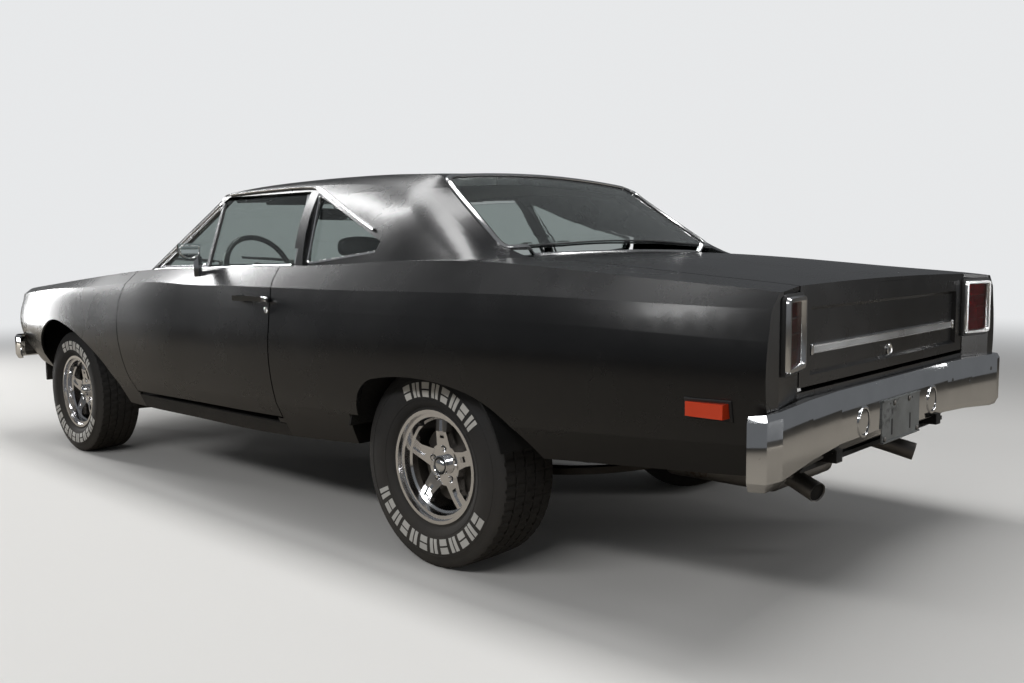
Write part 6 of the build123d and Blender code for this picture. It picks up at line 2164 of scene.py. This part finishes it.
    def radiator(self, shop: Workshop) -> None:
        """Make the radiator with its tanks, cap and hoses.

        Args:
            shop: the workshop that makes the pieces.
        """
        shop.block("radiator_core", (2.255, -0.285, 0.44), (2.300, 0.285, 0.80), Look.IRON, bevel=0.004)
        for row in range(24):
            z = 0.455 + row * 0.0145
            shop.block(f"radiator_fin_{row + 1}", (2.2515, -0.280, z), (2.256, 0.280, z + 0.003),
                       Look.BLACK_PLASTIC, bevel=0.0)
        for name, low, high in (("top", 0.795, 0.842), ("foot", 0.405, 0.445)):
            shop.block(f"radiator_tank_{name}", (2.245, -0.290, low), (2.310, 0.290, high),
                       Look.BLACK_PLASTIC, bevel=0.012)
        shop.lathe("radiator_cap", (2.278, -0.12, 0.840), [(0, 0.020), (0.006, 0.020), (0.008, 0.032),
                                                           (0.014, 0.030), (0.015, 0)],
                   Look.CHROME, axis=(0, 0, 1), steps=28)
        upper = spline([(1.54, 0.02, 0.728), (1.60, 0.04, 0.752), (1.85, 0.12, 0.775), (2.16, 0.17, 0.800),
                        (2.25, 0.17, 0.815)])
        lower = spline([(1.62, -0.10, 0.560), (1.78, -0.16, 0.500), (2.05, -0.18, 0.430),
                        (2.25, -0.18, 0.425)])
        shop.tube("upper_hose", upper, 0.020, Look.RUBBER, sides=16)
        shop.tube("lower_hose", lower, 0.020, Look.RUBBER, sides=16)

    def walls(self, shop: Workshop) -> None:
        """Make the battery, the brake booster, the washer bottle, the heater box and the hood's catch.

        Args:
            shop: the workshop that makes the pieces.
        """
        shop.block("battery", (2.03, 0.262, 0.60), (2.235, 0.425, 0.78), Look.BLACK_PLASTIC, bevel=0.005)
        shop.block("battery_tray", (2.02, 0.255, 0.588), (2.245, 0.430, 0.602), Look.IRON, bevel=0.003)
        for index, x in enumerate((2.065, 2.20)):
            shop.lathe(f"battery_post_{index + 1}", (x, 0.30, 0.779),
                       [(0, 0.010), (0.018, 0.008), (0.018, 0)], Look.STEEL,
                       axis=(0, 0, 1), steps=16)
        shop.lathe("brake_booster", (0.848, 0.345, 0.800), [(0, 0), (0, 0.075), (0.020, 0.082),
                                                            (0.050, 0.080), (0.062, 0.050),
                                                         (0.064, 0)], Look.BRUSHED, axis=(1, 0, 0), steps=40)
        shop.block("master_cylinder", (0.905, 0.315, 0.785), (1.02, 0.375, 0.838), Look.CAST, bevel=0.008)
        shop.block("washer_bottle", (2.02, -0.425, 0.60), (2.20, -0.30, 0.79), Look.BOTTLE, bevel=0.014)
        shop.block("heater_box", (0.847, -0.42, 0.66), (0.93, -0.12, 0.85), Look.BLACK_PLASTIC, bevel=0.012)
        shop.block("hood_catch", (2.345, -0.05, 0.845), (2.375, 0.05, 0.868), Look.STEEL, bevel=0.004)

    def lids(self, shop: Workshop) -> None:
        """Make the stiffening frames under the hood and the deck lid.

        Args:
            shop: the workshop that makes the pieces.
        """
        frames = (("hood", 1.06, 2.40, 0.66, (-0.30, 0.30), (1.50, 1.95), Look.PAINT),
                  ("deck_lid", -2.48, -1.68, 0.59, (-0.25, 0.25), (-2.10,), Look.PAINT))
        for body, rear, front, half, lengthwise, crosswise, look in frames:
            lines = [((rear, -half), (rear, half)), ((front, -half), (front, half)),
                     ((rear, -half), (front, -half)),
                     ((rear, half), (front, half))]
            lines += [((rear, y), (front, y)) for y in lengthwise] + [((x, -half),
                                                                       (x, half)) for x in crosswise]
            for index, (start, end) in enumerate(lines):
                row = fill_in([(*start, 0.72), (*end, 0.72)], 0.06)
                places, normals = shop.trace([body], row, (0, 0, 1))
                if len(places) > 1:
                    shop.sweep(f"{body}_brace_{index + 1}", places, strip(0.055, 0.016, 0.35), look, body,
                               normals)

    def build(self, shop: Workshop) -> None:
        """Make all of it.

        Args:
            shop: the workshop that makes the pieces.
        """
        self.block(shop)
        self.top(shop)
        self.front(shop)
        self.radiator(shop)
        self.walls(shop)
        self.lids(shop)


@dataclass
class FrontEnd:
    """The headlamps' rings and flutes, the grille's bright edges, the parking lamps and the cowl's slots in
    painted shade.
    """

    panel_x: float = 2.462
    lamp_ys: tuple[float, ...] = (-0.608, -0.430, 0.430, 0.608)
    lamp_z: float = 0.730

    def lamps(self, shop: Workshop) -> None:
        """Make each headlamp's chrome ring, its reflector and the flutes of its lens.

        Args:
            shop: the workshop that makes the pieces.
        """
        for index, y in enumerate(self.lamp_ys):
            centre = (self.panel_x - 0.012, y, self.lamp_z)
            shop.lathe(f"headlamp_ring_{index + 1}", centre, [(0.010, 0.074), (0.020, 0.076),
                                                              (0.020, 0.083), (0.014, 0.0862),
                                                            (0.006, 0.0862)], Look.CHROME, axis=(1, 0, 0),
                                                            steps=56)
            shop.lathe(f"headlamp_bowl_{index + 1}", (self.panel_x - 0.0325, y, self.lamp_z),
                       [(0.0015, 0.070), (0.000, 0.050), (-0.002, 0.0)], Look.MIRROR, axis=(1, 0, 0),
                       steps=40)
            for flute in range(-4, 5):
                reach = math.sqrt(max(0.0, 0.060 ** 2 - (flute * 0.014) ** 2))
                if reach > 0.015:
                    met = [shop.hit(["headlamps"], (3.0, y + flute * 0.014, self.lamp_z + reach * t),
                                    (-1, 0, 0))
                           for t in (-1, -0.5, 0, 0.5, 1)]
                    places = [m[0] for m in met if m]
                    if len(places) > 2:
                        shop.sweep(f"headlamp_flute_{index + 1}_{flute + 5}", places, strip(0.005, 0.0012),
                                   Look.CLEAR_LENS,
                                   ups=(1, 0, 0))

    def grille(self, shop: Workshop) -> None:
        """Make the bright frame round the grille opening and the bright edge of each bar.

        Args:
            shop: the workshop that makes the pieces.
        """
        x = self.panel_x + 0.013
        outline = rounded([(x, -0.706, 0.616), (x, 0.706, 0.616), (x, 0.706, 0.844), (x, -0.706, 0.844)],
                          0.03, 5, True)
        shop.sweep("grille_moulding", outline, strip(0.012, 0.006), Look.CHROME, ups=(1, 0, 0), closed=True)
        for row in range(1, 8):
            z = 0.622 + 0.216 * row / 8
            shop.sweep(f"grille_edge_{row}", [(self.panel_x, -0.335, z), (self.panel_x, 0.335, z)],
                       strip(0.0045, 0.0025),
                       Look.BRUSHED, ups=(1, 0, 0))

    def bumper(self, shop: Workshop) -> None:
        """Make the amber parking lamps behind the bumper's edge.

        Args:
            shop: the workshop that makes the pieces.
        """
        for side in Side:
            y = side.value * 0.56
            shop.block(f"parking_lamp_{side.word}", (2.464, y - 0.060, 0.500), (2.486, y + 0.060, 0.548),
                       Look.ORANGE_LENS,
                       bevel=0.006)
            shop.block(f"parking_lamp_rim_{side.word}", (2.463, y - 0.066, 0.494),
                       (2.478, y + 0.066, 0.554), Look.CHROME,
                       bevel=0.004)

    def cowl(self, shop: Workshop) -> None:
        """Paint the air slots in the cowl ahead of the windshield as thin black strips of painted shade.

        Args:
            shop: the workshop that makes the pieces.
        """
        for index in range(9):
            y = -0.44 + index * 0.11
            path = [(0.965 + 0.03, y - 0.04, 1.2), (0.965 + 0.03, y + 0.04, 1.2)]
            places, normals = shop.trace(["front_structure", "hood"], path, (0, 0, -1), 0.0005)
            if len(places) > 1 and places[0].z > 0.98:
                shop.sweep(f"cowl_slot_{index + 1}", places, strip(0.008, 0.001), Look.BLACK_PLASTIC,
                           ups=normals)

    def build(self, shop: Workshop) -> None:
        """Make all of it.

        Args:
            shop: the workshop that makes the pieces.
        """
        self.lamps(shop)
        self.grille(shop)
        self.bumper(shop)
        self.cowl(shop)


def dress_nodes(frame: dict, paints: Paintbox) -> None:
    """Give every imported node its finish.

    Args:
        paints: the finishes.
    """
    for look, names in NODE_LOOKS.items():
        for name in names:
            paints.dress(frame["nodes"][name], look)


def main(frame: dict) -> None:
    """Build the studio and dress the car.
    """
    logging.basicConfig(level=logging.INFO, format="%(name)s: %(message)s")
    paints = Paintbox()
    Studio().build()
    dress_nodes(frame, paints)
    LOG.info("dressed %d nodes", len(frame["nodes"]))
    shop = Workshop(frame, paints)
    assemblies = [Wheel("front", side, FRONT_AXLE_X, 0.752, FRONT_TYRE_RADIUS, 0.236) for side in Side]
    assemblies += [Wheel("rear", side, REAR_AXLE_X, 0.748, REAR_TYRE_RADIUS, 0.268) for side in Side]
    assemblies += [SideTrim(), GlassTrim(), Tail(), FrontEnd(), EngineBay(), Cabin()]
    for assembly in assemblies:
        before = shop.made
        assembly.build(shop)
        LOG.info("%s: %d pieces", type(assembly).__name__, shop.made - before)


if __name__ == "__main__":
    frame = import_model()
    main(frame)
